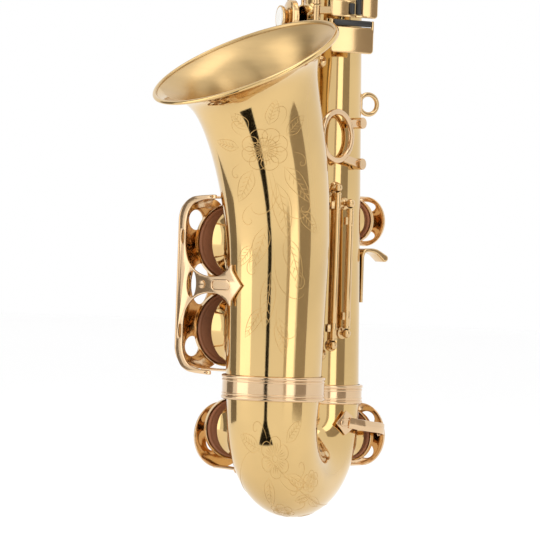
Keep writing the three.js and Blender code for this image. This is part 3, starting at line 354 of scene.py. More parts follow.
def material(name, slot, color, variation, metallic, roughness, rough_span, bump, scale,
             coat=0.0, stretch=(1, 1, 1), specular=0.5, sheen=0.0, kind="noise"):
    """A procedural material: colour and roughness vary over the surface, with a fine bump."""
    m = bpy.data.materials.new(name)
    m.use_nodes = True
    nodes, links = m.node_tree.nodes, m.node_tree.links
    shader = nodes["Principled BSDF"]
    shader.inputs["Metallic"].default_value = metallic
    shader.inputs["Coat Weight"].default_value = coat
    shader.inputs["Coat Roughness"].default_value = 0.04
    shader.inputs["Specular IOR Level"].default_value = specular
    shader.inputs["Sheen Weight"].default_value = sheen
    where = nodes.new("ShaderNodeTexCoord")
    mapping = nodes.new("ShaderNodeMapping")
    mapping.inputs["Scale"].default_value = stretch
    links.new(where.outputs["Object"], mapping.inputs["Vector"])
    broad = nodes.new("ShaderNodeTexNoise")
    broad.inputs["Scale"].default_value = 22.0
    broad.inputs["Detail"].default_value = 3.0
    links.new(mapping.outputs["Vector"], broad.inputs["Vector"])
    fine = nodes.new("ShaderNodeTexVoronoi" if kind == "cells" else "ShaderNodeTexNoise")
    fine.inputs["Scale"].default_value = scale
    if kind != "cells":
        fine.inputs["Detail"].default_value = 4.0
    links.new(mapping.outputs["Vector"], fine.inputs["Vector"])
    ramp = nodes.new("ShaderNodeValToRGB")
    deep = tuple(c * (1 - variation * 2.2) for c in color)
    light = tuple(min(c * (1 + variation), 1) for c in color)
    ramp.color_ramp.elements[0].position = 0.3
    ramp.color_ramp.elements[0].color = (*deep, 1)
    ramp.color_ramp.elements[1].position = 0.62
    ramp.color_ramp.elements[1].color = (*light, 1)
    links.new(broad.outputs["Fac"], ramp.inputs["Fac"])
    links.new(ramp.outputs["Color"], shader.inputs["Base Color"])
    rough = nodes.new("ShaderNodeMapRange")
    rough.inputs["From Min"].default_value = 0.3
    rough.inputs["From Max"].default_value = 0.7
    rough.inputs["To Min"].default_value = max(roughness - rough_span, 0.01)
    rough.inputs["To Max"].default_value = roughness + rough_span
    links.new(fine.outputs[0], rough.inputs["Value"])
    links.new(rough.outputs["Result"], shader.inputs["Roughness"])
    relief = nodes.new("ShaderNodeBump")
    relief.inputs["Strength"].default_value = bump
    relief.inputs["Distance"].default_value = 0.0002
    links.new(fine.outputs[0], relief.inputs["Height"])
    links.new(relief.outputs["Normal"], shader.inputs["Normal"])
    m["slot"] = slot
    return m


LACQUER = material("lacquered_brass", "lacquer", (0.71, 0.49, 0.215), 0.035, 1.0, 0.085, 0.02, 0.012, 900.0,
                   coat=0.1)
KEY_BRASS = material("key_brass", "key_brass", (0.7, 0.48, 0.24), 0.05, 1.0, 0.13, 0.03, 0.02, 1200.0,
                     coat=0.2)
PINK_BRASS = material("ferrule_brass", "key_brass", (0.74, 0.52, 0.31), 0.04, 1.0, 0.11, 0.03, 0.015,
                      1200.0, coat=0.2)
BELL_INSIDE = material("bell_inside", "lacquer", (0.62, 0.43, 0.2), 0.05, 1.0, 0.34, 0.05, 0.03, 1500.0,
                       coat=0.06, stretch=(1, 1, 5))
ENGRAVED = material("engraved_line", "lacquer", (0.66, 0.43, 0.17), 0.1, 1.0, 0.38, 0.08, 0.05, 2500.0)
STEEL = material("turned_steel", "steel", (0.62, 0.6, 0.56), 0.05, 1.0, 0.24, 0.05, 0.03, 2500.0,
                 stretch=(1, 1, 0.1))
RESONATOR = material("resonator", "key_brass", (0.9, 0.62, 0.26), 0.05, 1.0, 0.12, 0.04, 0.02, 1500.0)
LEATHER = material("pad_leather", "leather", (0.33, 0.13, 0.06), 0.16, 0.0, 0.55, 0.1, 0.35, 2600.0,
                   specular=0.4, kind="cells")
NYLON = material("black_nylon", "black_nylon", (0.022, 0.021, 0.021), 0.15, 0.0, 0.34, 0.06, 0.08, 3000.0)
EBONITE = material("ebonite", "ebonite", (0.016, 0.016, 0.018), 0.15, 0.0, 0.2, 0.04, 0.03, 2200.0,
                   coat=0.4)
CORK = material("cork", "cork", (0.62, 0.42, 0.24), 0.22, 0.0, 0.85, 0.08, 0.6, 900.0, kind="cells")
CANE = material("cane", "cane", (0.83, 0.68, 0.38), 0.1, 0.0, 0.6, 0.08, 0.3, 1800.0, stretch=(9, 1, 1))
PEARL = material("pearl", "key_brass", (0.86, 0.85, 0.8), 0.07, 0.0, 0.18, 0.05, 0.02, 500.0, coat=0.8)
FELT = material("felt_bumper", "leather", (0.12, 0.09, 0.07), 0.2, 0.0, 0.92, 0.06, 0.8, 3500.0, sheen=0.3)
# Painted shadow: this dark material, laid as a thin sheet in each screw slot, stands in for the shade
# inside the slot.
SLOT_SHADOW_PAINT = material("shadow_slot", "key_brass", (0.13, 0.07, 0.03), 0.1, 0.8, 0.5, 0.1, 0.02, 2000.0)


def placed(name, data):
    """A new object in the scene."""
    obj = bpy.data.objects.new(name, data)
    bpy.context.scene.collection.objects.link(obj)
    return obj


def cleaned(name, shape, merge):
    """A mesh in the row frame from a shape in millimetres, its doubled points merged."""
    points, faces = shape
    mesh = bpy.data.meshes.new(name)
    mesh.from_pydata([tuple(p) for p in np.asarray(points) * MM + np.array(ORIGIN)], [], faces)
    work = bmesh.new()
    work.from_mesh(mesh)
    bmesh.ops.remove_doubles(work, verts=work.verts, dist=merge)
    bmesh.ops.dissolve_degenerate(work, edges=work.edges, dist=merge / 2)
    bmesh.ops.recalc_face_normals(work, faces=work.faces)
    work.to_mesh(mesh)
    work.free()
    return mesh


def make(name, shape, mat, body="body", replaces=(), sharp=35.0):
    """A visible piece from a shape in millimetres, placed in the row frame and riding on a body."""
    mesh = cleaned(name, shape, 4e-6)
    mesh.shade_smooth()
    mesh.set_sharp_from_angle(angle=math.radians(sharp))
    mesh.materials.append(mat)
    piece = placed(name, mesh)
    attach(piece, body)
    if replaces:
        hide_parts(*replaces)
    return piece


def cut(piece, cutters):
    """Cuts shapes out of a piece."""
    tool = placed("cutter", cleaned("cutter", join(*cutters), 1e-6))
    modifier = piece.modifiers.new("cut", "BOOLEAN")
    modifier.operation = "DIFFERENCE"
    modifier.solver = "EXACT"
    modifier.object = tool
    bpy.context.view_layer.update()
    evaluated = piece.evaluated_get(bpy.context.evaluated_depsgraph_get())
    result = bpy.data.meshes.new_from_object(evaluated)
    piece.modifiers.clear()
    materials = list(piece.data.materials)
    piece.data = result
    if not result.materials:
        for m in materials:
            result.materials.append(m)
    result.shade_smooth()
    result.set_sharp_from_angle(angle=math.radians(30))
    bpy.data.objects.remove(tool)


# ---------------------------------------------------------------- keys, as in the frame

LOWER = dict(on=BODY, bearing=-60, hinge=(-102, 34.5), posts=(103, 135, 168, 201, 234), lift=8, pearl=True)
UPPER = dict(on=BODY, bearing=-40, hinge=(-86, 30), posts=(245, 278, 309, 340), lift=8, pearl=True)
BELL_KEY = dict(on=BELL, bearing=-110, hinge=(-163, 41), posts=(102, 148.7, 197), lift=13.5, hole=20.5)
KEYS = [
    dict(BELL_KEY, name="low_b_flat", z=176.4),
    dict(BELL_KEY, name="low_b", z=121),
    dict(name="low_c", on=BOW_BELL_SIDE, z=57, bearing=-118, hole=16, hinge=(-162, 42), posts=(51, 74.5),
         lift=10, rise=6.5),
    dict(name="low_c_sharp", on=BOW_BODY_SIDE, z=51.5, bearing=160, hole=13, hinge=(212, 34),
         posts=(40, 62), lift=5, nudge=3),
    dict(name="low_e_flat", on=BODY, z=126, bearing=-168, hole=12, hinge=(-128, 33), posts=(91, 141),
         lift=7, nudge=0, touch=(102, -112, 46, 16, 9)),
    dict(name="g_sharp", on=BODY, z=194, bearing=165, hole=10.5, hinge=(216, 30), posts=(182, 206), lift=7,
         nudge=4),
    dict(LOWER, name="d", z=118, hole=12.5),
    dict(LOWER, name="e", z=152, hole=12),
    dict(LOWER, name="f", z=185, hole=11.5),
    dict(LOWER, name="f_sharp", z=217, hole=11, pearl=False),
    dict(UPPER, name="g", z=262, hole=10),
    dict(UPPER, name="a", z=294, hole=9),
    dict(UPPER, name="b", z=324, hole=8),
    dict(name="side_b_flat", on=BODY, z=356, bearing=-170, hole=7.5, hinge=(-133, 26), posts=(252, 368),
         lift=7, nudge=0, touch=(268, -120, 37, 9, 18)),
    dict(name="side_c", on=BODY, z=390, bearing=-148, hole=7, hinge=(-111, 26), posts=(276, 402), lift=7,
         nudge=0, touch=(292, -100, 37, 9, 18)),
    dict(name="palm_d", on=BODY, z=406, bearing=96, hole=7, hinge=(58, 25), posts=(374, 418), lift=7,
         nudge=0, touch=(384, 76, 37, 11, 18)),
    dict(name="palm_e_flat", on=BODY, z=446, bearing=146, hole=7, hinge=(106, 26), posts=(424, 458), lift=7,
         nudge=0, touch=(432, 118, 38, 11, 14)),
    dict(name="palm_f", on=BODY, z=482, bearing=84, hole=6.5, hinge=(46, 24), posts=(442, 494), lift=7,
         nudge=0, touch=(452, 66, 36, 11, 18)),
]
OWN_PAD = ("low_b_flat", "low_b", "low_c", "low_c_sharp", "low_e_flat", "g_sharp")
LEVERS = [
    dict(name="low_c_sharp_lever", hinge=(54, 29.5), posts=(120, 204)),
    dict(name="low_b_lever", hinge=(36, 29.5), posts=(112, 214)),
    dict(name="low_b_flat_lever", hinge=(20, 29.5), posts=(106, 210)),
]
WALL = 1.1
SEAT, PAD_THICK, GAP, SKIRT = 0.9, 3.6, 0.3, 3.0
CUP_BACK = 5.8


def rim(key):
    return key["on"].radius(key["z"]) + key.get("rise", 4.5)


def tube_span(key):
    below = max(z for z in key["posts"] if z < key["z"])
    above = min(z for z in key["posts"] if z > key["z"])
    return below + 3.2, above - 3.2


def chimney(key, tube_r):
    """A drawn tone hole: a fillet rising from the tube's surface, a wall and a rounded rim."""
    outer, inner = key["hole"] + WALL, key["hole"]
    sides = 72 if inner > 15 else 48
    top = rim(key)
    fillet = 2.4
    rings = []
    angles = np.linspace(0, 2 * math.pi, sides, endpoint=False)

    def surface(radius):
        inside = np.clip(tube_r**2 - (radius * np.cos(angles)) ** 2, 1, None)
        return np.sqrt(inside)

    for t in np.linspace(0, math.pi / 2, 7):
        radius = outer + fillet * (1 - math.sin(t))
        height = surface(radius) + fillet * (1 - math.cos(t)) - 0.05
        rings.append((radius, height))
    for radius, height in ((outer, top - 0.6), (outer + 0.15, top - 0.25), (outer - 0.2, top),
                           (inner + 0.1, top), (inner, top - 0.3)):
        rings.append((radius, np.full(sides, float(height))))
    rings.append((inner, surface(inner) - 2.2))
    points = np.vstack([np.stack([r * np.cos(angles), r * np.sin(angles), h], 1) for r, h in rings])
    base = facing(key["on"], key["bearing"], 0, key["z"])
    return moved((points, strip(len(rings), sides)), base)


def bore(key):
    return moved(lathe([(0, 3), (key["hole"], 3), (key["hole"], rim(key) + 8), (0, rim(key) + 8)], 48),
                 facing(key["on"], key["bearing"], 0, key["z"]))


def post(key, z):
    """A post with a flared foot and a ball head."""
    bearing, reach = key["hinge"]
    head = around(key["on"], bearing, reach, key["z"])
    head.z = z
    foot = around(key["on"], bearing, key["on"].radius(z) - 0.6, z)
    length = (head - foot).length
    profile = [(0, 0), (4.0, 0), (4.0, 1.0), (3.4, 1.5), (2.0, 2.1), (1.5, 3.2),
               (1.35, max(length - 4.0, 3.4))]
    for a in np.linspace(-62, 90, 14):
        profile.append((BALL_R * math.cos(math.radians(a)), length + BALL_R * math.sin(math.radians(a))))
    turn = (head - foot).to_track_quat("Z", "Y").to_matrix().to_4x4()
    return moved(lathe(profile, 24), Matrix.Translation(foot) @ turn)


def cup_shape(pad_r, sides):
    """The cup over a pad, open side down at z = 0: a rolled skirt, a stepped shoulder and a low dome."""
    outer = pad_r + GAP + 0.9
    profile = [(0, SKIRT - 0.1), (pad_r - 1.0, SKIRT - 0.1), (pad_r + GAP, SKIRT - 0.1),
               (pad_r + GAP, 0.25), (pad_r + GAP + 0.25, 0), (outer, 0),
               (outer + 0.12, 0.4), (outer, 0.9), (outer, SKIRT + 0.2), (outer - 0.5, SKIRT + 0.9),
               (outer - 1.3, SKIRT + 1.2),
               (outer * 0.72, SKIRT + 1.6), (outer * 0.62, SKIRT + 1.85), (outer * 0.58, SKIRT + 2.3),
               (outer * 0.4, SKIRT + 2.6), (outer * 0.15, SKIRT + 2.75), (0, SKIRT + 2.8)]
    return lathe(profile, sides)


def pad_shape(pad_r, sides):
    """A leather pad, face down at z = 0: soft rounded edge and the ring pressed in by the tone hole."""
    seat = pad_r - 2.2
    profile = [(0, 0.25), (pad_r * 0.5, 0.2), (seat - 0.9, 0.02), (seat - 0.35, 0.16), (seat, 0.22),
               (seat + 0.4, 0.14),
               (seat + 0.9, 0.0), (pad_r - 0.7, 0.1), (pad_r - 0.22, 0.45), (pad_r - 0.05, 1.0),
               (pad_r, 1.6), (pad_r, 3.3), (0, 3.3)]
    return lathe(profile, sides)


def resonator_shape(pad_r, sides):
    """The domed metal disc in the middle of a pad, with its rivet."""
    r = pad_r * 0.58
    profile = [(0, -0.95), (1.1, -0.92), (1.5, -0.6), (r * 0.35, -0.62), (r * 0.8, -0.42), (r * 0.93, -0.3),
               (r, -0.12), (r, 0.25), (0, 0.3)]
    return lathe(profile, sides)


def key_pieces(key):
    on, name = key["on"], key["name"]
    pad_r = key["hole"] + WALL + 1.6
    sides = 72 if pad_r > 15 else 44
    hinge_bearing, hinge_reach = key["hinge"]
    hinge = around(on, hinge_bearing, hinge_reach, key["z"])
    z0, z1 = tube_span(key)
    seat = rim(key) + SEAT
    cup_base = seat + PAD_THICK + GAP - SKIRT
    back = cup_base + CUP_BACK
    on_cup = around(on, key["bearing"], back - 0.4, key["z"])
    shoulder = around(on, hinge_bearing, max(back, hinge_reach + 3), key["z"])
    knee = around(on, (key["bearing"] + hinge_bearing) / 2, back + 3.4, key["z"])

    def column(z, more=0.0):
        return (hinge.x, hinge.y, z + more)

    cup_at = facing(on, key["bearing"], cup_base, key["z"])
    metal = [moved(cup_shape(pad_r, sides), cup_at)]
    metal.append(rod(column(z0), column(z1), HINGE_R, 28))
    for z in (z0, z1 - 2.2):
        metal.append(rod(column(z), column(z + 2.2), HINGE_R + 0.35, 28))
    toward = (on_cup - knee).normalized()
    path = smooth([hinge + (shoulder - hinge) * 0.15, shoulder, knee, on_cup - toward * 1.5,
                   on_cup + toward * 3], 8)
    taper = np.interp(np.linspace(0, 1, len(path)), [0, 0.2, 0.55, 1], [1.0, 0.8, 0.72, 0.95])
    metal.append(sweep(path, flat_section(6.2, 2.3, 0.7), across=(0, 0, 1),
                       scale=np.stack([taper, np.ones(len(path))], 1)))
    metal.append(moved(lathe(rounded([(0, -1), (3.4, -1), (3.4, 1.0), (2.0, 1.7), (0, 1.8)], 0.5), 28),
                       facing(on, key["bearing"], back - 0.8, key["z"])))
    pearl = None
    if key.get("pearl"):
        socket = rounded([(0, -0.5), (4.6, -0.5), (5.2, 0.5), (7.9, 2.8), (8.0, 4.4), (7.4, 4.6),
                          (7.0, 4.0), (0, 4.0)], 0.3)
        at = facing(on, key["bearing"], back - 0.5, key["z"])
        metal.append(moved(lathe(socket, 36), at))
        pearl = moved(lathe([(0, 3.6), (7.0, 3.9), (7.0, 4.3), (6.3, 4.75), (4.5, 4.7), (2.0, 4.4),
                             (0, 4.3)], 36), at)
    if "touch" in key:
        z, bearing, reach, w, h = key["touch"]
        metal.append(moved(plate(rounded_rect(-w / 2, -h / 2, w / 2, h / 2, 4), (), 2.0, 0.8),
                           facing(on, bearing, reach, z)))
        touch_point = around(on, bearing, reach - 0.6, z)
        base = Vector((hinge.x, hinge.y, z))
        lift = (touch_point - base).normalized()
        metal.append(sweep(smooth([base, base + lift * 3, touch_point], 6), flat_section(6, 2.2, 0.7),
                           across=(0, 0, 1)))
    out = around(on, key["bearing"], 1, key["z"]) - around(on, key["bearing"], 0, key["z"])
    opening = math.copysign(1, (on_cup.x - hinge.x) * out.y - (on_cup.y - hinge.y) * out.x)
    turn = math.radians(opening * key.get("nudge", key["lift"]))
    swing = Matrix.Translation(hinge) @ Matrix.Rotation(turn, 4, "Z") @ Matrix.Translation(-hinge)
    pad_at = facing(on, key["bearing"], seat, key["z"])
    make(name + "_key_metal", moved(join(*metal), swing), KEY_BRASS, name, [name + "_key"])
    pad_nodes = [name + "_pad"] if name in OWN_PAD else []
    make(name + "_leather", moved(pad_shape(pad_r, sides), swing @ pad_at), LEATHER, name, pad_nodes)
    make(name + "_resonator", moved(resonator_shape(pad_r, sides), swing @ pad_at), RESONATOR, name)
    if pearl is not None:
        make(name + "_pearl", moved(pearl, swing), PEARL, name)


# ---------------------------------------------------------------- body, bow and bell


def bow_frame(s):
    """The bow's centre and its section's x and y, at a length along it from the body's end."""
    turn = min(max((s - BOW_LEGS[0]) / BOW_BEND, 0), math.pi)
    before = max(BOW_LEGS[0] - s, 0)
    after = max(s - BOW_LEGS[0] - math.pi * BOW_BEND, 0)
    y = -BOW_BEND * (1 - math.cos(turn))
    z = BOW_CENTRE_Z - BOW_BEND * math.sin(turn) + before + after
    return np.array((0, y, z)), np.array((1.0, 0, 0)), -np.array((0, math.cos(turn), -math.sin(turn)))


def bow_radius(s):
    return 25.2 + 4.2 * s / BOW_LENGTH - 0.9 * math.sin(math.pi * min(max(s / BOW_LENGTH, 0), 1)) ** 2


def bell_frame(s):
    """The same for the bell, which stands straight and then leans out."""
    h = np.array((math.sin(BELL_LEAN), -math.cos(BELL_LEAN), 0))
    side = np.array((-h[1], h[0], 0))
    arc_r = BELL_ARC / BELL_BEND
    turn = max(s - BELL_STRAIGHT, 0) / arc_r
    centre = h * arc_r * (1 - math.cos(turn))
    centre[1] += BELL_Y
    centre[2] = BELL_BOTTOM + min(s, BELL_STRAIGHT) + arc_r * math.sin(turn)
    n = h * math.cos(turn) - np.array((0, 0, math.sin(turn)))
    return centre, n * h[0] + side * side[0], n * h[1] + side * side[1]


def bell_profile(inset):
    us = np.concatenate([np.linspace(BELL_LENGTH, 130, 14), np.linspace(124, 34, 24),
                         np.geomspace(30, 0.7, 26)])
    slope = (bell_radius(us - 0.05) - bell_radius(us + 0.05)) / 0.1
    shift = inset / np.hypot(1, slope)
    return [(float(r), float(z)) for r, z in zip(bell_radius(us) - shift, BELL_LENGTH - us + shift * slope)]


def bell_surface(bearing, s, offset=0.0):
    """A point on the bell's outside, at a bearing and a length along its axis."""
    centre, ax, ay = bell_frame(s)
    a = math.radians(bearing - 90)
    r = float(bell_radius(BELL_LENGTH - s)) + offset
    return centre + ax * r * math.cos(a) + ay * r * math.sin(a)


def horn():
    """Bell, bow and body tube with their tone holes, and every post."""
    outside = bell_profile(0)
    bead_r, bead_z = 59.95, BELL_LENGTH - 0.1
    bead = [(bead_r + 1.55 * math.cos(math.radians(a)), bead_z + 1.55 * math.sin(math.radians(a)))
            for a in np.linspace(-62, 196, 20)]
    inside = bell_profile(SHEET)[::-1]
    shell = bent(lathe(outside + bead + inside, 176, loop=True), bell_frame)
    bell = make("bell_shell", shell, LACQUER, "body", ["bell"], sharp=50)
    cut(bell, [bore(k) for k in KEYS if k["on"] is BELL])
    bell.data.materials.append(BELL_INSIDE)
    for polygon in bell.data.polygons:
        c = (polygon.center - ORIGIN) / MM
        s = c.z - BELL_BOTTOM
        centre = bell_frame(min(max(s, 0), BELL_LENGTH))[0]
        if s > 5 and polygon.normal.dot(Vector(centre) - c) > 0:
            polygon.material_index = 1

    steps = np.concatenate([[0], np.linspace(BOW_LEGS[0], BOW_LENGTH - BOW_LEGS[1], 64), [BOW_LENGTH]])
    outer = [(bow_radius(s), s) for s in steps]
    inner = [(bow_radius(s) - SHEET, s) for s in steps][::-1]
    bow = make("bow_shell", bent(lathe(outer + inner, 112, loop=True), bow_frame), LACQUER, "body", ["bow"],
               sharp=50)
    cut(bow, [bore(k) for k in KEYS if k["on"] in (BOW_BODY_SIDE, BOW_BELL_SIDE)])

    heights = np.linspace(BODY_BOTTOM, BODY_TOP, 25)
    outer = [(body_radius(z), z) for z in heights]
    inner = [(body_radius(z) - SHEET, z) for z in heights][::-1]
    tube = make("body_shell", lathe(outer + inner, 112, loop=True), LACQUER, "body", ["body_tube"],
                sharp=50)
    cut(tube, [bore(k) for k in KEYS if k["on"] is BODY])

    walls = []
    for key in KEYS:
        walls.append(chimney(key, key["on"].radius(key["z"])))
    make("tone_holes", join(*walls), LACQUER, sharp=60)

    posts = {}
    for key in KEYS:
        for z in key["posts"]:
            posts[(key["on"], key["hinge"], z)] = (key, z)
    others = [dict(on=BODY, hinge=k["hinge"], posts=k["posts"], z=160) for k in LEVERS]
    others.append(dict(on=BODY, hinge=(2, 29.5), posts=(295.6, 367.4), z=330))
    for key in others:
        for z in key["posts"]:
            posts[(key["on"], key["hinge"], z)] = (key, z)
    make("posts", join(*[post(key, z) for key, z in posts.values()]), KEY_BRASS, sharp=60)


def rods():
    for name, line in (("lower_stack_rod", LOWER), ("upper_stack_rod", UPPER), ("bell_key_rod", BELL_KEY)):
        at = around(line["on"], *line["hinge"], 0)
        z0, z1 = line["posts"][0] - 4.6, line["posts"][-1] + 4.6
        shape = rod((at.x, at.y, z0), (at.x, at.y, z1), 1.2, 20)
        heads = [rod((at.x, at.y, z), (at.x, at.y, z + 1.2), 1.75, 20) for z in (z0, z1 - 1.2)]
        make(name + "_steel", join(shape, *heads), STEEL, "body", [name])


# ---------------------------------------------------------------- rings, guards and fittings


def strap(a, b, width, thick, across):
    a, b = Vector(a), Vector(b)
    return sweep([a + (b - a) * t for t in np.linspace(0, 1, 5)], flat_section(width, thick, 0.5),
                 across=across)


def block(x0, y0, z0, x1, y1, z1, edge=0.4):
    """A box with softened edges."""
    return shifted(plate(rounded_rect(x0, y0, x1, y1, edge), (), z1 - z0, min(edge, (z1 - z0) * 0.4)), 0, 0,
                   (z0 + z1) / 2)


def screw_at(place, radius=2.5, rise=1.2):
    """A screw's head and, as a shape of its own, a dark sheet in its slot: painted shadow standing in for
    the slot's depth.
    """
    outline = [(0, -0.6), (radius, -0.6), (radius, rise * 0.5), (radius * 0.7, rise), (0, rise)]
    slot = block(-radius * 0.86, -0.28, rise - 0.1, radius * 0.86, 0.28, rise + 0.02, 0.05)
    return moved(lathe(rounded(outline, 0.3), 28), place), moved(slot, place)


def ferrule(inner, z0, z1, y):
    wall = inner + 1.3

    def bead(z, half, rise):
        return [(wall + rise * math.cos(a), z + half * math.sin(a))
                for a in np.linspace(-math.pi / 2, math.pi / 2, 9)]

    outside = [(wall - 0.3, z0)] + bead(z0 + 1.3, 1.1, 0.7) + bead(z0 + 3.5, 0.7, 0.4)
    outside += bead(z1 - 3.5, 0.7, 0.4) + bead(z1 - 1.3, 1.1, 0.7) + [(wall - 0.3, z1)]
    return shifted(lathe(outside + [(inner, z1), (inner, z0)], 112, loop=True), 0, y, 0)


def emboss(x0, x1, half, rise=0.45):
    """A raised rim round a long slot, on a foot."""
    loop = rounded_rect(x0, -half, x1, half, half * 0.98, 8)
    return sweep([(x, y, rise) for x, y in loop], circle(0.5, 8), across=(0, 0, 1), closed=True)


def bell_guard():
    at = facing(BELL, -25, 32.6, 149)
    upper = [(-57.6, 36), (-56.9, 44.5), (-52.8, 51.6), (-46.5, 55), (-40, 56), (-32, 56.4), (-24, 56.6),
             (-23.2, 55.3), (-24, 54),
             (-31, 53.8), (-38, 53), (-44.6, 51), (-49.2, 46), (-51.2, 40), (-51.4, 34), (-51.2, 24),
             (-48.6, 15.6), (-42.5, 9.6),
             (-34.6, 6.4), (-26, 5.2), (-18, 5.8), (-11.6, 8.6), (-6, 13), (-5.2, 10), (-4, 8)]
    outline = smooth(upper, 5).tolist() + [(4, 0)] + smooth([(x, -y) for x, y in upper[::-1]], 5).tolist()
    holes = [ellipse(-44.2, 0, 4.6, 8.6), ellipse(-54.4, 30, 1.3, 4.5, 20),
             ellipse(-54.4, -30, 1.3, 4.5, 20)]
    front = [moved(plate(outline, holes, 1.4, 0.4), at)]
    front.append(moved(shifted(emboss(-24, -7, 3.1), 0, 0, 0.4), at))
    screws = [screw_at(at @ Matrix.Translation((x, y, 0.6)), r) for x, y,
              r in ((-33.5, 0, 2.6), (-26.4, 55.3, 1.0), (-26.4, -55.3, 1.0))]

    side = facing(BELL, -110, 60.5, 149)
    outline = rounded_rect(-14, -54.5, 28.4, 55.5, 15, 14)
    cells = [ellipse(13.5, 41, 6.4, 6.4), ellipse(13.5, -40, 6.4, 6.4), ellipse(8, 0, 8, 13)]
    cells += [ellipse(-5, 41, 5, 7, 28), ellipse(-5, -40, 5, 7, 28), ellipse(22.6, 0, 2.6, 8, 24)]
    front.append(moved(plate(outline, cells, 1.4, 0.45), side))
    felts = []
    for y in (27.4, -28):
        front.append(moved(lathe(rounded([(0, -3.4), (4.8, -3.4), (4.8, 0.6), (4.0, 1.6), (0, 1.7)], 0.4),
                                 32), side @ Matrix.Translation((0, y, 0))))
        felts.append(moved(lathe(rounded([(0, -5.4), (3.9, -5.4), (4.1, -3.3), (0, -3.3)], 0.3), 28),
                           side @ Matrix.Translation((0, y, 0))))
    for dz in (56, -54.6):
        inner = around(BELL, -110, BELL.radius(149 + dz) + 0.9 + (3.4 if dz > 0 else 0), 149 + dz)
        outer = around(BELL, -110, 60.5, 149 + dz)
        front.append(strap(inner, outer, 9, 1.6, sideways(-110)))
    make("bell_guard_metal", join(*front, *[s[0] for s in screws]), PINK_BRASS, "body", ["bell_key_guard"])
    # The slot sheets are painted shadow in the screw slots.
    make("bell_guard_slot_shadows", join(*[s[1] for s in screws]), SLOT_SHADOW_PAINT)
    make("bell_guard_felts", join(*felts), FELT)


def round_guard(name, on, bearing, reach, z, disc_r, holes, legs, depth, bumper, extra=()):
    at = facing(on, bearing, reach, z)
    cells = [ellipse(x, y, rx, ry, 40) for x, y, rx, ry in holes]
    pieces = [moved(plate(ellipse(0, 0, disc_r, disc_r, 96), cells, 1.4, 0.45), at)]
    edge = [(disc_r - 0.8 + 0.55 * math.cos(a), 0.75 + 0.4 * math.sin(a))
            for a in np.linspace(0, 2 * math.pi, 10, endpoint=False)]
    pieces.append(moved(lathe(edge, 96, loop=True), at))
    for dx, dz in legs:
        pieces.append(strap(at @ Vector((dx, dz, 0)), at @ Vector((dx, dz, depth - reach)), 5, 1.8,
                            sideways(bearing)))
        foot = at @ Matrix.Translation((dx, dz, depth - reach))
        pieces.append(moved(lathe(rounded([(0, -0.4), (3.0, -0.4), (3.0, 0.8), (2.2, 1.3), (0, 1.4)], 0.3),
                                  28), foot))
    metal, soft = bumper
    pieces.append(moved(lathe(rounded([(0, -metal), (3.6, -metal), (3.6, 0.9), (3.0, 1.5), (0, 1.6)], 0.35),
                              28), at))
    felt = moved(lathe(rounded([(0, -soft), (3.1, -soft), (3.2, 0.1 - metal), (0, 0.1 - metal)], 0.2), 24),
                 at)
    # The dark sheet in the bumper screw's slot is painted shadow.
    slot = moved(block(-2.6, -0.3, 1.5, 2.6, 0.3, 1.63, 0.05), at)
    make(name + "_metal", join(*pieces, *extra), PINK_BRASS, "body", [name])
    make(name + "_slot", slot, SLOT_SHADOW_PAINT)
    make(name + "_felt", felt, FELT)


def guards():
    bell_guard()
    round_guard("g_sharp_guard", BODY, 165, 42.5, 194, 16.6,
                [(3, 0, 2.6, 3.6), (0, 9.5, 9, 3.6), (0, -9.5, 9, 3.6)],
                [(0, 15.6), (0, -15.6)], 23.4, (1.4, 2.4))
    round_guard("low_c_guard", BOW_BELL_SIDE, -118, 54.5, 52, 21.5,
                [(0, 12, 10, 4), (7, -4, 5, 6), (-8, -4, 5, 6)], [(3, -20.4)], 31.5, (2.0, 3.6))
    on = BOW_BODY_SIDE
    points = [around(on, *p) for p in ((139, 44.6, 55), (126, 43.6, 56.4), (112, 41, 58), (88, 34, 60),
                                       (66, 28.2, 62))]
    arm = sweep(smooth(points, 6), flat_section(7, 1.8, 0.6), across=(0, 0, 1))
    arrow_at = facing(on, 62, 27.7, 62)
    arrow = plate([(-9, 0), (-5.2, 3.4), (-1, 8), (1.6, 6.4), (5, 4), (5, -4), (1.6, -6.4), (-1, -8),
                   (-5.2, -3.4)], (), 1.0, 0.3)
    extra = [arm, moved(arrow, arrow_at), moved(shifted(emboss(-5, 3, 2.2, 0.2), 0, 0, 0.4), arrow_at)]
    round_guard("low_c_sharp_guard", on, 160, 43, 52, 20.8,
                [(-5, 10.5, 7, 5), (-5, -10.5, 7, 5), (9, 0, 4, 7)],
                [(0, -19.8)], 29, (0.72, 1.05), extra)


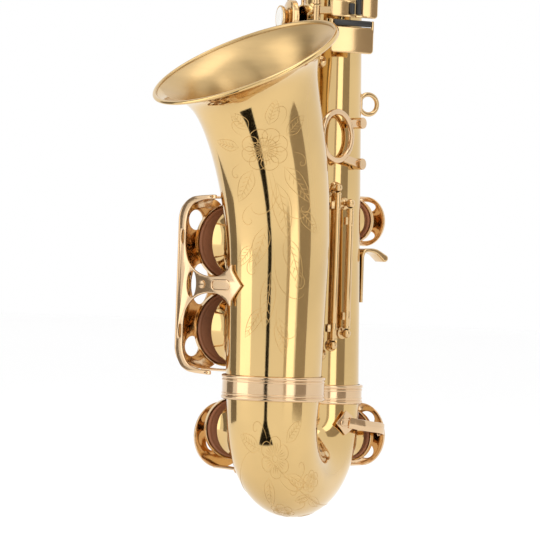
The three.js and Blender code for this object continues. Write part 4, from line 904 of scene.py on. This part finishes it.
def brace():
    """The ring between bell and body, screwed to two feet."""
    centre, ring_r = Vector((18, -30, 247)), 15.6
    a = math.radians(75.6)
    out = Vector((math.sin(a), -math.cos(a), 0))
    up = Vector((0, 0, 1))
    back = up.cross(out)
    frame_at = Matrix((back, up, out)).transposed().to_4x4()
    frame_at.translation = centre

    def on_ring(angle):
        t = math.radians(angle)
        return centre + back * ring_r * math.cos(t) + up * ring_r * math.sin(t)

    pieces, slots = [moved(torus(ring_r, 1.95, 72, 18), frame_at)], []
    for z, angle in ((256.8, 34), (230.2, -62)):
        base = around(BODY, 75, body_radius(z) + 0.5, z)
        end = around(BODY, 75, body_radius(z) + 7.4, z)
        pieces.append(rod(base, end, 3.7, 32, 0.6))
        pieces.append(strap(on_ring(angle), around(BODY, 75, body_radius(z) + 4, z), 5, 3, up))
        head, slot = screw_at(facing(BODY, 75, body_radius(z) + 6.4, z), 2.5, 0.9)
        pieces.append(head)
        slots.append(slot)
    stem = Vector((8.9, -54.9, centre.z))
    far = on_ring(180)
    pieces.append(rod(stem, far, 2.5, 28))
    for t, r in ((0.1, 2.6), (0.5, 2.6)):
        p = stem + (far - stem) * t
        pieces.append(rod(p, p + (far - stem).normalized() * 1.6, r, 28))
    make("brace_metal", join(*pieces), PINK_BRASS, "body", ["bell_brace"])
    # The slot sheets are painted shadow in the screw slots.
    make("brace_slot_shadows", join(*slots), SLOT_SHADOW_PAINT)


def fittings():
    make("body_ferrule_metal", ferrule(25.8, 73.7, 86.3, 0), PINK_BRASS, "body", ["body_ferrule"])
    make("bell_ferrule_metal", ferrule(30.9, 78, 93.4, BELL_Y), PINK_BRASS, "body", ["bell_ferrule"])
    edge_on = facing(BODY, 140, 28.5, 271) @ Matrix.Rotation(math.pi / 2, 4, "Y")
    root = moved(block(-3.5, -6.5, -0.8, 3.5, 6.5, 0.8, 0.7),
                 facing(BODY, 140, body_radius(271) + 1.5, 271))
    make("strap_ring_metal", join(moved(torus(6.6, 1.55, 56, 16), edge_on), root), KEY_BRASS, "body",
         ["strap_ring"])

    stem = [(0, 0), (2, 0)]
    curl = smooth([(2, 30), (3, 32.6), (6, 33.4), (11, 32.2), (15.8, 28.3)], 6).tolist()
    nose = [(17.6 + 2.4 * math.cos(t), 29.6 + 2.4 * math.sin(t))
            for t in np.linspace(1.35 * math.pi, 2.3 * math.pi, 12)]
    back = smooth([(18.4, 31.8), (12, 35.2), (6, 35.8), (1.6, 34.6), (0, 31)], 6).tolist()
    at = facing(BODY, 140, body_radius(156) + 0.9, 140) @ Matrix.Rotation(-math.pi / 2, 4, "Y")
    hook = moved(plate(stem + curl + nose + back, (), 13, 1.0), at)
    head, slot = screw_at(facing(BODY, 140, body_radius(150) + 2.6, 150), 2.2, 0.8)
    make("thumb_hook_metal", join(hook, head), KEY_BRASS, "body", ["thumb_hook"], sharp=50)
    # The slot sheet is painted shadow in the screw slot.
    make("thumb_hook_slot_shadow", slot, SLOT_SHADOW_PAINT)
    foot = body_radius(418) + 1.2 - 26.5
    rest = rounded([(0, foot), (3.4, foot), (3.4, -3), (8.1, -2.4), (8.5, -1.2), (7.9, -0.25), (5.5, 0),
                    (0, -0.5)], 0.3)
    make("thumb_rest_piece", moved(lathe(rest, 48), facing(BODY, 178, 26.5, 418)), NYLON, "body",
         ["thumb_rest"])


# ---------------------------------------------------------------- the left little finger's table and levers

TABLE_AT = facing(BODY, 45, 33, 0)
TOUCHES = [
    ("b_flat", (299, 318), (-15, 301), (15, 318), "top", None),
    ("c_sharp", (318.6, 331.4), (-15.3, 324), (-2.9, 335), "right", None),
    ("b", (332, 345.6), (6.4, 324), (17.4, 346), "left", 340),
    ("g_sharp", (350, 364), (-15.5, 349.5), (16, 364), None, None),
]


def key_tube(x, y, z0, z1, radius=2.5):
    pieces = [rod((x, y, z0), (x, y, z1), radius - 0.15, 28)]
    for z in (z0, z1 - 1.6):
        pieces.append(rod((x, y, z), (x, y, z + 1.6), radius, 28, 0.4))
    return join(*pieces)


def table():
    """The left little finger's touches and rollers."""
    hinge = around(BODY, 2, 29.5, 0)
    for name, tube, low, high, roller, arm_z in TOUCHES:
        z = arm_z or min(max((low[1] + high[1]) / 2, tube[0] + 3.2), tube[1] - 3.2)
        target = TABLE_AT @ Vector((max(low[0] + 4.6, -6), z, -1.2))
        pieces = [moved(plate(rounded_rect(*low, *high, 2.4), (), 2, 0.75), TABLE_AT),
                  key_tube(hinge.x, hinge.y, *tube)]
        start = Vector((hinge.x, hinge.y, z))
        pieces.append(strap(start, target, 5, 2, (0, 0, 1)))
        body = name + "_touch"
        if roller:
            off = GAP + 2.0
            if roller == "top":
                x, y, half, upright = (low[0] + high[0]) / 2, high[1] + off, (high[0] - low[0]) / 2, False
            else:
                x = low[0] - off if roller == "left" else high[0] + off
                y, half, upright = (low[1] + high[1]) / 2, (high[1] - low[1]) / 2, True
            for sign in (1, -1):
                along = sign * (half - 0.8)
                w, h = (8, 1.6) if upright else (1.6, 8)
                inward = 2 if roller == "left" else -2
                cx, cy = (x + inward, y + along) if upright else (x + along, y - 2)
                pieces.append(moved(block(cx - w / 2, cy - h / 2, -1, cx + w / 2, cy + h / 2, 1, 0.45),
                                    TABLE_AT))
            axis = Vector((0, 0, 1)) if upright else sideways(45)
            centre = TABLE_AT @ Vector((x, y, 0))
            reach = half - 1.6 - GAP
            barrel = rod(centre - axis * reach, centre + axis * reach, 2.0, 32, 0.55)
            make(name + "_roller_piece", barrel, NYLON, name + "_roller", [name + "_roller"])
        make(name + "_touch_metal", join(*pieces), KEY_BRASS, body, [name + "_touch"])
        if name == "g_sharp":
            inlay = moved(plate(rounded_rect(-13, 351.6, 13.5, 361.9, 2.4), (), 0.8, 0.3),
                          TABLE_AT @ Matrix.Translation((0, 0, 0.75)))
            make("g_sharp_touch_pearl", inlay, PEARL, body)


def levers():
    for lever in LEVERS:
        bearing, reach = lever["hinge"]
        foot = around(BODY, bearing, reach, 0)
        z0, z1 = lever["posts"][0] + 3.2, lever["posts"][1] - 3.2
        pieces = [key_tube(foot.x, foot.y, z0, z1)]
        for z in (z0 + 8, z1 - 8):
            pieces.append(strap((foot.x, foot.y, z), around(BODY, bearing - 8, reach + 1, z), 5, 2,
                                (0, 0, 1)))
            pieces.append(rod((foot.x, foot.y, z - 3.2), (foot.x, foot.y, z + 3.2), 2.5, 24))
        make(lever["name"] + "_metal", join(*pieces), KEY_BRASS, lever["name"], [lever["name"]])


# ---------------------------------------------------------------- neck, mouthpiece and octave parts

NECK_RISE, NECK_BEND_R, NECK_BEND, NECK_RUN = 46.0, 60.0, math.radians(98), 40.0
NECK_LENGTH = NECK_RISE + NECK_BEND_R * NECK_BEND + NECK_RUN
TENON_Z, TENON_R, NECK_END_R = 563.0, 12.2, 6.1


def neck_frame(s):
    """The same for the neck, from its tenon to the cork."""
    turn = min(max((s - NECK_RISE) / NECK_BEND_R, 0), NECK_BEND)
    after = max(s - NECK_RISE - NECK_BEND_R * NECK_BEND, 0)
    y = NECK_BEND_R * (1 - math.cos(turn)) + after * math.sin(turn)
    z = TENON_Z + min(s, NECK_RISE) + NECK_BEND_R * math.sin(turn) + after * math.cos(turn)
    return np.array((0, y, z)), np.array((1.0, 0, 0)), np.array((0, math.cos(turn), -math.sin(turn)))


def neck_radius(s):
    return TENON_R - (TENON_R - NECK_END_R) * s / NECK_LENGTH


def on_neck(s, reach, dx=0.0):
    centre, x, y = neck_frame(s)
    return Vector(centre - y * reach + x * dx)


def neck():
    steps = [0.0, 20.0] + np.linspace(NECK_RISE, NECK_LENGTH - NECK_RUN, 40).tolist() + [NECK_LENGTH]
    outer = [(neck_radius(s), s) for s in steps]
    inner = [(neck_radius(s) - SHEET, s) for s in steps][::-1]
    pieces = [bent(lathe(outer + inner, 64, loop=True), neck_frame)]
    collar = rounded([(11.6, 584.4), (14.2, 584.4), (14.6, 585.2), (14.6, 587), (14.0, 587.9),
                      (11.6, 587.9), (11.6, 584.4)], 0.3)
    pieces.append(lathe(collar, 64, loop=True))
    for dx in (-6.4, 6.4):
        pieces.append(rod(on_neck(66, neck_radius(66) - 4, dx), on_neck(66, neck_radius(66) + 5, dx), 1.7,
                          24, 0.7))
    pieces.append(rod(on_neck(106, neck_radius(106) - 0.8), on_neck(106, neck_radius(106) + 2.4), 2.4, 28))
    make("neck_shell", join(*pieces), LACQUER, "neck", ["neck_tube"])

    start = NECK_LENGTH - 27
    bore_r = neck_radius(start) + GAP
    cork = [(bore_r, start), (7.6, start + 1.0), (8.0, start + 2.2), (8.0, NECK_LENGTH - 0.8),
            (7.7, NECK_LENGTH), (bore_r, NECK_LENGTH)]
    make("cork_sleeve", bent(lathe(cork, 56, loop=True), neck_frame), CORK, "neck", ["neck_cork"])

    centre, across, inside = neck_frame(NECK_LENGTH)
    ahead = np.cross(across, inside)
    at = Matrix((Vector(-across), Vector(-inside), Vector(ahead))).transposed().to_4x4()
    at.translation = on_neck(NECK_LENGTH - 17, 0)
    body = [(0, 0.2), (10.6, 0), (11, 0.6), (11, 7.4), (10.4, 9.6), (10.7, 13), (12, 22), (12.4, 50),
            (11.8, 70), (11, 87.4), (10.4, 88), (0, 88)]
    piece = make("mouthpiece_body", moved(lathe(body, 96), at), EBONITE, "neck", ["mouthpiece"])
    slope = shifted(moved(block(-20, -0, -30, 20, 20, 30, 0.01), Matrix.Rotation(0.36, 4, "X")), 0, 4.6, 66)
    table_cut = block(-20, -19, 18, 20, -9, 109, 0.01)
    inside_bore = lathe([(0, -1), (8.4, -1), (8.4, 18.5), (6.2, 19), (6.2, 60), (0, 60)], 48)
    window = block(-5.2, -11, 53, 5.2, -3, 83, 0.01)
    cut(piece, [moved(slope, at)])
    cut(piece, [moved(table_cut, at)])
    cut(piece, [moved(inside_bore, at)])
    cut(piece, [moved(window, at)])
    side = [(20, 0), (87.5, 0), (87.5, -0.35), (80, -0.7), (54, -2.6), (21, -2.6), (20, -2.2)]
    reed = moved(plate(side, (), 12.4, 0.15),
                 at @ Matrix.Translation((0, -9 - GAP, 0)) @ Matrix.Rotation(-math.pi / 2, 4, "Y"))
    make("reed_piece", reed, CANE, "neck", ["reed"])
    gap = math.asin(1.5 / 14.5)
    angles = np.linspace(-math.pi / 2 + gap, 1.5 * math.pi - gap, 72)
    section = [(14.0, 24.2), (14.0, 45.8), (14.4, 46), (14.85, 45.6), (14.85, 43.6), (14.6, 43), (14.6, 27),
               (14.85, 26.4), (14.85, 24.4), (14.4, 24)]
    points = np.array([(r * math.cos(a), r * math.sin(a), z) for a in angles for r, z in section])
    faces = strip(len(angles), len(section)) + [list(range(len(section)))[::-1],
                                                list(range(len(points) - len(section), len(points)))]
    lugs = [block(dx - 0.9, -19.6, 25, dx + 0.9, -13.7, 45, 0.5) for dx in (-2.4, 2.4)]
    screws = [rod((-6, -17.4, z), (6.4, -17.4, z), 1.4, 20) for z in (29, 41)]
    screws += [rod((6.2, -17.4, z), (9, -17.4, z), 1.4, 20) for z in (29, 41)]
    make("ligature_band", moved(join((points, faces), *lugs, *screws), at), KEY_BRASS, "neck", ["ligature"])


def receiver():
    pieces = []
    slit = math.asin(0.8 / 14)
    angles = np.linspace(math.pi / 2 + slit, 2.5 * math.pi - slit, 90)
    for section in ([(12.8, 560.4), (15.4, 560.4), (15.6, 561), (15.6, 579), (14.6, 579.6), (12.8, 583.9)],
                    [(14.6, 579), (16.6, 579), (17, 579.6), (17, 583.2), (16.5, 583.9), (14.6, 583.9)]):
        points = np.array([(r * math.cos(a), r * math.sin(a), z) for a in angles for r, z in section])
        k = len(section)
        pieces.append((points, strip(len(angles), k) + [list(range(k))[::-1],
                                                        list(range(len(points) - k, len(points)))]))
    for x0, x1 in ((-4.5, -0.8), (0.8, 4.5)):
        pieces.append(block(x0, 14.6, 565, x1, 23, 579, 0.9))
    make("receiver_metal", join(*pieces), KEY_BRASS, "body", ["neck_receiver"])
    turn = Matrix.Translation((0, 19.6, 570)) @ Matrix.Rotation(math.pi / 2, 4, "Y")
    wing = moved(plate(outline_through([(-3.6, 0), (-3.0, -4.0), (3.0, -4.0), (3.6, 0), (3.0, 4.0),
                                        (-3.0, 4.0)], 6), (), 2.0, 0.7),
                 Matrix.Translation((0, 0, 10.5)) @ Matrix.Rotation(math.pi / 2, 4, "Y"))
    screw = join(rod((0, 0, -5.6), (0, 0, 8), 1.75, 24), wing)
    make("neck_screw_metal", moved(screw, turn), KEY_BRASS, "neck_screw", ["neck_screw"])


def octave():
    ring_z, ring_r = 590.6, 18.0
    points = [(0, -ring_r, ring_z), on_neck(46, ring_r - 0.5), on_neck(66, neck_radius(66) + 5),
              on_neck(86, neck_radius(86) + 5.5), on_neck(106, neck_radius(106) + 6)]
    pieces = [shifted(torus(ring_r, 1.45, 72, 14), 0, 0, ring_z),
              sweep(smooth(points, 6), flat_section(4.8, 2, 0.7), across=(1, 0, 0))]
    pieces.append(rod(on_neck(66, neck_radius(66) + 5, -4.4), on_neck(66, neck_radius(66) + 5, 4.4), 2.3,
                      28))
    pieces.append(rod(on_neck(106, neck_radius(106) + 2.9), on_neck(106, neck_radius(106) + 7), 4.9, 32,
                      0.9))
    make("neck_octave_metal", join(*pieces), KEY_BRASS, "neck_octave", ["neck_octave_key"])
    centre = around(BODY, 205, 21, 460)
    side = sideways(205)
    lever = [rod(centre - side * 4.6, centre + side * 4.6, 2.3, 28)]
    lever.append(moved(plate(rounded_rect(-7.5, -8, 7.5, 8, 4, 10), (), 2, 0.8),
                       facing(BODY, 196, 25, 439)))
    lever.append(strap(centre, around(BODY, 197, 25, 445), 5, 2, side))
    lever.append(rod(centre, around(BODY, 205, 21, 584), 1.5, 24))
    make("octave_lever_metal", join(*lever), KEY_BRASS, "octave_lever", ["octave_lever"])
    stands = []
    for sign in (1, -1):
        head = centre + side * sign * 6.6
        foot = around(BODY, 205, body_radius(460) - 3, 460) + side * sign * 6.6
        stands.append(rod(foot, head, 1.7, 24, 0.7))
        stands.append(ball(head, 1.7, 20))
    make("octave_stands", join(*stands), KEY_BRASS)


# ---------------------------------------------------------------- engraving


def bow_surface(phi, s, offset=0.0):
    """A point on the bow; phi is the angle round it from its outermost line, positive towards +X."""
    centre, x, y = bow_frame(s)
    a = math.radians(phi)
    r = bow_radius(s) + offset
    return centre + x * r * math.sin(a) - y * r * math.cos(a)


def petals(cx, cy, r, count, start=0.0, wide=0.42):
    """Outlines of a flower's petals and the vein of each."""
    strokes = []
    for i in range(count):
        a = math.radians(start + 360 * i / count)
        u, v = np.array((math.cos(a), math.sin(a))), np.array((-math.sin(a), math.cos(a)))
        c = np.array((cx, cy))
        w = r * wide
        loop = [c + u * r * 0.18, c + u * r * 0.5 + v * w * 0.8, c + u * r * 0.86 + v * w * 0.72,
                c + u * r * 1.0, c + u * r * 0.86 - v * w * 0.72,
                c + u * r * 0.5 - v * w * 0.8, c + u * r * 0.18]
        strokes.append(loop)
        for k in (-0.5, 0.0, 0.5):
            strokes.append([c + u * r * 0.26 + v * w * k * 0.2, c + u * r * 0.5 + v * w * k * 0.55,
                            c + u * r * 0.74 + v * w * k * 0.75])
    strokes.append([np.array((cx + 0.17 * r * math.cos(t), cy + 0.17 * r * math.sin(t)))
                    for t in np.linspace(0, 2 * math.pi, 9)])
    return strokes


def leaf(x, y, angle, length, wide):
    """A leaf's two edges, its midrib and its veins."""
    a = math.radians(angle)
    u, v = np.array((math.cos(a), math.sin(a))), np.array((-math.sin(a), math.cos(a)))
    c = np.array((x, y))
    strokes = [[c, c + u * length * 0.3 + v * wide, c + u * length * 0.7 + v * wide * 0.8, c + u * length]]
    strokes.append([c, c + u * length * 0.3 - v * wide, c + u * length * 0.7 - v * wide * 0.8,
                    c + u * length])
    strokes.append([c, c + u * length * 0.45 + v * wide * 0.12, c + u * length * 0.92])
    for t in np.linspace(0.2, 0.75, 5):
        for sign in (1, -1):
            strokes.append([c + u * length * t, c + u * length * (t + 0.12) + v * sign * wide * 0.62])
    return strokes


def scroll(x, y, angle, length, curl):
    """A stem that ends in a curl."""
    a = math.radians(angle)
    points, p = [np.array((x, y))], np.array((x, y), float)
    for i in range(16):
        a += curl * (0.03 + 0.045 * i)
        p = p + np.array((math.cos(a), math.sin(a))) * length / 16 * (1.25 - 0.055 * i)
        points.append(p.copy())
    return [points]


def engrave(name, strokes, surface, thick=0.17):
    """Draws strokes as fine wires half sunk in a surface, thin at both ends."""
    lines = []
    for stroke in strokes:
        start, end = np.array(stroke[0]), np.array(stroke[-1])
        line = smooth(stroke, 5) if len(stroke) > 2 else np.array([start, (start + end) / 2, end])
        path = np.array([surface(x, y) for x, y in line])
        keep = [0] + [i for i in range(1, len(path)) if np.linalg.norm(path[i] - path[i - 1]) > 0.02]
        if len(keep) < 3:
            continue
        path = path[keep]
        t = np.linspace(0, 1, len(path))
        lines.append(sweep(path, circle(thick, 6), scale=0.45 + 0.8 * np.sin(math.pi * t)))
    make(name, join(*lines), ENGRAVED, sharp=80)


def engraving():
    bell = petals(0, 0, 15, 8, 10) + petals(0, 0, 8, 6, 30, 0.5)
    for x, y, angle, length, wide in ((10, -14, -60, 30, 5), (-10, -13, -120, 26, 5),
                                      (4, -24, -84, 38, 5.5), (15, 6, 30, 18, 4), (-16, 4, 160, 18, 4),
                                      (-4, -52, -110, 34, 5), (7, -60, -72, 34, 5), (-2, -84, -95, 36, 4.5),
                                      (6, 16, 60, 18, 4), (-7, 16, 118, 17, 4),
                                      (-14, -66, -128, 20, 4), (17, -44, -50, 20, 4), (4, -112, -80, 24, 4),
                                      (-7, -106, -120, 22, 3.6)):
        bell += leaf(x, y, angle, length, wide)
    for x, y, angle, length, curl in ((0, -16, -90, 60, 0.5), (2, -16, -80, 52, -0.6),
                                      (-12, -36, -150, 34, 1.0), (16, -30, -30, 34, -1.0),
                                      (-8, -72, -160, 32, 1.0), (10, -80, -20, 32, -1.0),
                                      (0, -70, -90, 52, 0.45), (-12, 12, 140, 26, -1.1),
                                      (14, 14, 40, 26, 1.1), (3, -104, -100, 40, 0.7),
                                      (18, -6, -20, 24, -1.1), (-18, -8, 200, 24, 1.1)):
        bell += scroll(x, y, angle, length, curl)

    def on_bell(x, y):
        s = 156 + y
        s = min(max(s, 12), BELL_LENGTH - 8)
        r = float(bell_radius(BELL_LENGTH - s))
        return bell_surface(20 + math.degrees(x / r), s, -0.05)

    engrave("bell_engraving", bell, on_bell)
    bow = petals(0, 0, 9, 6, 20) + petals(20, -20, 7, 6, 0) + petals(-8, -30, 7, 6, 15)
    for x, y, angle, length, wide in ((6, -8, -50, 16, 3), (-6, -8, -110, 18, 3), (8, 6, 40, 14, 3),
                                      (-9, 4, 160, 14, 3), (14, -28, -100, 16, 3),
                                      (4, -24, -20, 12, 2.6), (-4, -40, -80, 16, 3)):
        bow += leaf(x, y, angle, length, wide)
    for x, y, angle, length, curl in ((0, -8, -70, 30, 0.7), (2, -8, -30, 26, -0.9), (-4, 8, 110, 20, 1.0),
                                      (10, -14, 10, 22, 0.9), (-2, -30, -30, 22, 1)):
        bow += scroll(x, y, angle, length, curl)
    seam = []
    for side in (-1, 1):
        steps = np.linspace(0, 1, 40)
        seam.append([(side * 52 * math.sin(math.pi * t) ** 0.6, 46 + (BOW_LENGTH - 76) * t) for t in steps])
    engrave("bow_seam", seam, lambda phi, s: bow_surface(phi, s, -0.08), 0.24)
    engrave("bow_engraving", bow, lambda x, y: bow_surface(25 + math.degrees(x / 28), BOW_LENGTH - 34 + y,
                                                           -0.06))


# ---------------------------------------------------------------- stage, light and camera

AZIMUTH, ROLL, DISTANCE = math.radians(23.6), math.radians(1.9), 1.72
LENS, SENSOR = 174.6, 36
AIM_HEIGHT, AIM_LEFT = 159.4, 0.0357
WARM = (1.0, 0.97, 0.92)
FLOOR_DROP = 0.05
DARK_BEARING, DARK = -17, 0.012
RIGHT = Vector((math.cos(AZIMUTH), math.sin(AZIMUTH), 0))
BACK = Vector((math.sin(AZIMUTH), -math.cos(AZIMUTH), 0))


def to_row(x, y, z):
    return Vector((x, y, z)) * MM + ORIGIN


def from_camera(bearing):
    """A level direction, as an angle from the one towards the camera."""
    a = math.radians(bearing)
    return BACK * math.cos(a) + RIGHT * math.sin(a)


def camera():
    data = bpy.data.cameras.new("camera")
    data.lens = LENS
    data.sensor_width = SENSOR
    data.clip_start = 0.05
    obj = placed("camera", data)
    target = to_row(0, 0, AIM_HEIGHT) - RIGHT * AIM_LEFT
    up = Vector((0, 0, 1)) * math.cos(ROLL) - RIGHT * math.sin(ROLL)
    right = RIGHT * math.cos(ROLL) + Vector((0, 0, 1)) * math.sin(ROLL)
    m = Matrix((right, up, BACK)).transposed().to_4x4()
    m.translation = target + BACK * DISTANCE
    obj.matrix_world = m
    bpy.context.scene.camera = obj


def area(name, where, aim, size_x, size_y, power, color=(1, 1, 1)):
    data = bpy.data.lights.new(name, "AREA")
    data.shape = "RECTANGLE"
    data.size, data.size_y = size_x, size_y
    data.energy = power
    data.color = color
    obj = placed(name, data)
    obj.location = where
    obj.rotation_euler = (Vector(aim) - Vector(where)).to_track_quat("-Z", "Y").to_euler()


def stage():
    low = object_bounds()[0].z - FLOOR_DROP
    centre = to_row(0, -40, 0)
    points, faces = lathe([(r, 0.0) for r in (0.02, 1.0, 3.0, 9.0)], 48)
    mesh = bpy.data.meshes.new("floor")
    mesh.from_pydata([(x + centre.x, y + centre.y, low) for x, y, z in points], [],
                     faces + [list(range(48))])
    floor = placed("floor", mesh)
    paper = bpy.data.materials.new("pale_paper")
    paper.use_nodes = True
    nodes, links = paper.node_tree.nodes, paper.node_tree.links
    shader = nodes["Principled BSDF"]
    shader.inputs["Roughness"].default_value = 0.9
    shader.inputs["Emission Color"].default_value = (1, 1, 1, 1)
    shader.inputs["Emission Strength"].default_value = 0.12
    grain = nodes.new("ShaderNodeTexNoise")
    grain.inputs["Scale"].default_value = 3.0
    ramp = nodes.new("ShaderNodeValToRGB")
    ramp.color_ramp.elements[0].color = (0.84, 0.84, 0.84, 1)
    ramp.color_ramp.elements[1].color = (0.88, 0.88, 0.88, 1)
    links.new(grain.outputs["Fac"], ramp.inputs["Fac"])
    links.new(ramp.outputs["Color"], shader.inputs["Base Color"])
    mesh.materials.append(paper)
    floor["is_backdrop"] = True


def card(name, where, right, up, width, height, shade):
    """A dark card beside the camera, unseen itself: polished brass shows it as a dark band."""
    corners = [where + right * x * width / 2 + up * y * height / 2 for x,
               y in ((-1, -1), (1, -1), (1, 1), (-1, 1))]
    mesh = bpy.data.meshes.new(name)
    mesh.from_pydata([tuple(c) for c in corners], [], [[0, 1, 2, 3]])
    m = bpy.data.materials.new(name)
    m.use_nodes = True
    shader = m.node_tree.nodes["Principled BSDF"]
    shader.inputs["Roughness"].default_value = 1.0
    shader.inputs["Specular IOR Level"].default_value = 0.0
    noise = m.node_tree.nodes.new("ShaderNodeTexNoise")
    ramp = m.node_tree.nodes.new("ShaderNodeValToRGB")
    ramp.color_ramp.elements[0].color = (shade, shade * 0.9, shade * 0.8, 1)
    ramp.color_ramp.elements[1].color = (shade * 1.1, shade, shade * 0.9, 1)
    m.node_tree.links.new(noise.outputs["Fac"], ramp.inputs["Fac"])
    m.node_tree.links.new(ramp.outputs["Color"], shader.inputs["Base Color"])
    mesh.materials.append(m)
    obj = placed(name, mesh)
    obj.visible_camera = False
    obj.visible_shadow = False
    obj.visible_diffuse = False
    obj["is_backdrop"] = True


def lights():
    world = bpy.data.worlds.new("studio")
    bpy.context.scene.world = world
    world.use_nodes = True
    background = world.node_tree.nodes["Background"]
    background.inputs["Color"].default_value = (1.0, 1.0, 1.0, 1)
    background.inputs["Strength"].default_value = 1.0
    centre = to_row(0, -40, 170)
    up = Vector((0, 0, 1))
    area("key_left", centre + BACK * 0.5 - RIGHT * 1.6 + up * 0.5, centre, 1.0, 2.0, 6, WARM)
    area("key_right", centre + BACK * 1.2 + RIGHT * 0.9 + up * 0.4, centre, 0.5, 2.0, 3, WARM)
    area("top", centre + up * 1.7 + BACK * 0.2, centre, 1.0, 1.0, 4)
    for name, bearing, distance, width, shade in (("dark_left", DARK_BEARING, 1.1, 0.15, DARK),
                                                  ("amber_right", 62, 1.0, 0.5, 0.34),
                                                  ("amber_left", -112, 0.9, 0.42, 0.22),
                                                  ("amber_front", 24, 1.2, 0.14, 0.5)):
        toward = from_camera(bearing)
        card(name, centre + toward * distance, up.cross(toward), up, width, 2.4, shade)
    toward = from_camera(DARK_BEARING)
    low = centre + toward * 0.85
    low.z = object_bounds()[0].z - FLOOR_DROP + 0.01
    card("dark_floor", low, up.cross(toward), toward, 0.11, 1.3, DARK)


scene = bpy.context.scene
scene.view_settings.view_transform = "Standard"

stage()
camera()
lights()
horn()
rods()
for key in KEYS:
    key_pieces(key)
guards()
brace()
fittings()
table()
levers()
neck()
receiver()
octave()
engraving()

CAD_MATERIALS = {"lacquer": LACQUER, "key_brass": KEY_BRASS, "steel": STEEL, "leather": LEATHER,
                 "black_nylon": NYLON, "ebonite": EBONITE, "cork": CORK, "cane": CANE}
for entry in frame["record"]["subparts"]:
    node = frame["nodes"][entry["node"]]
    node.data.materials.clear()
    node.data.materials.append(CAD_MATERIALS[entry["material_slot"]])
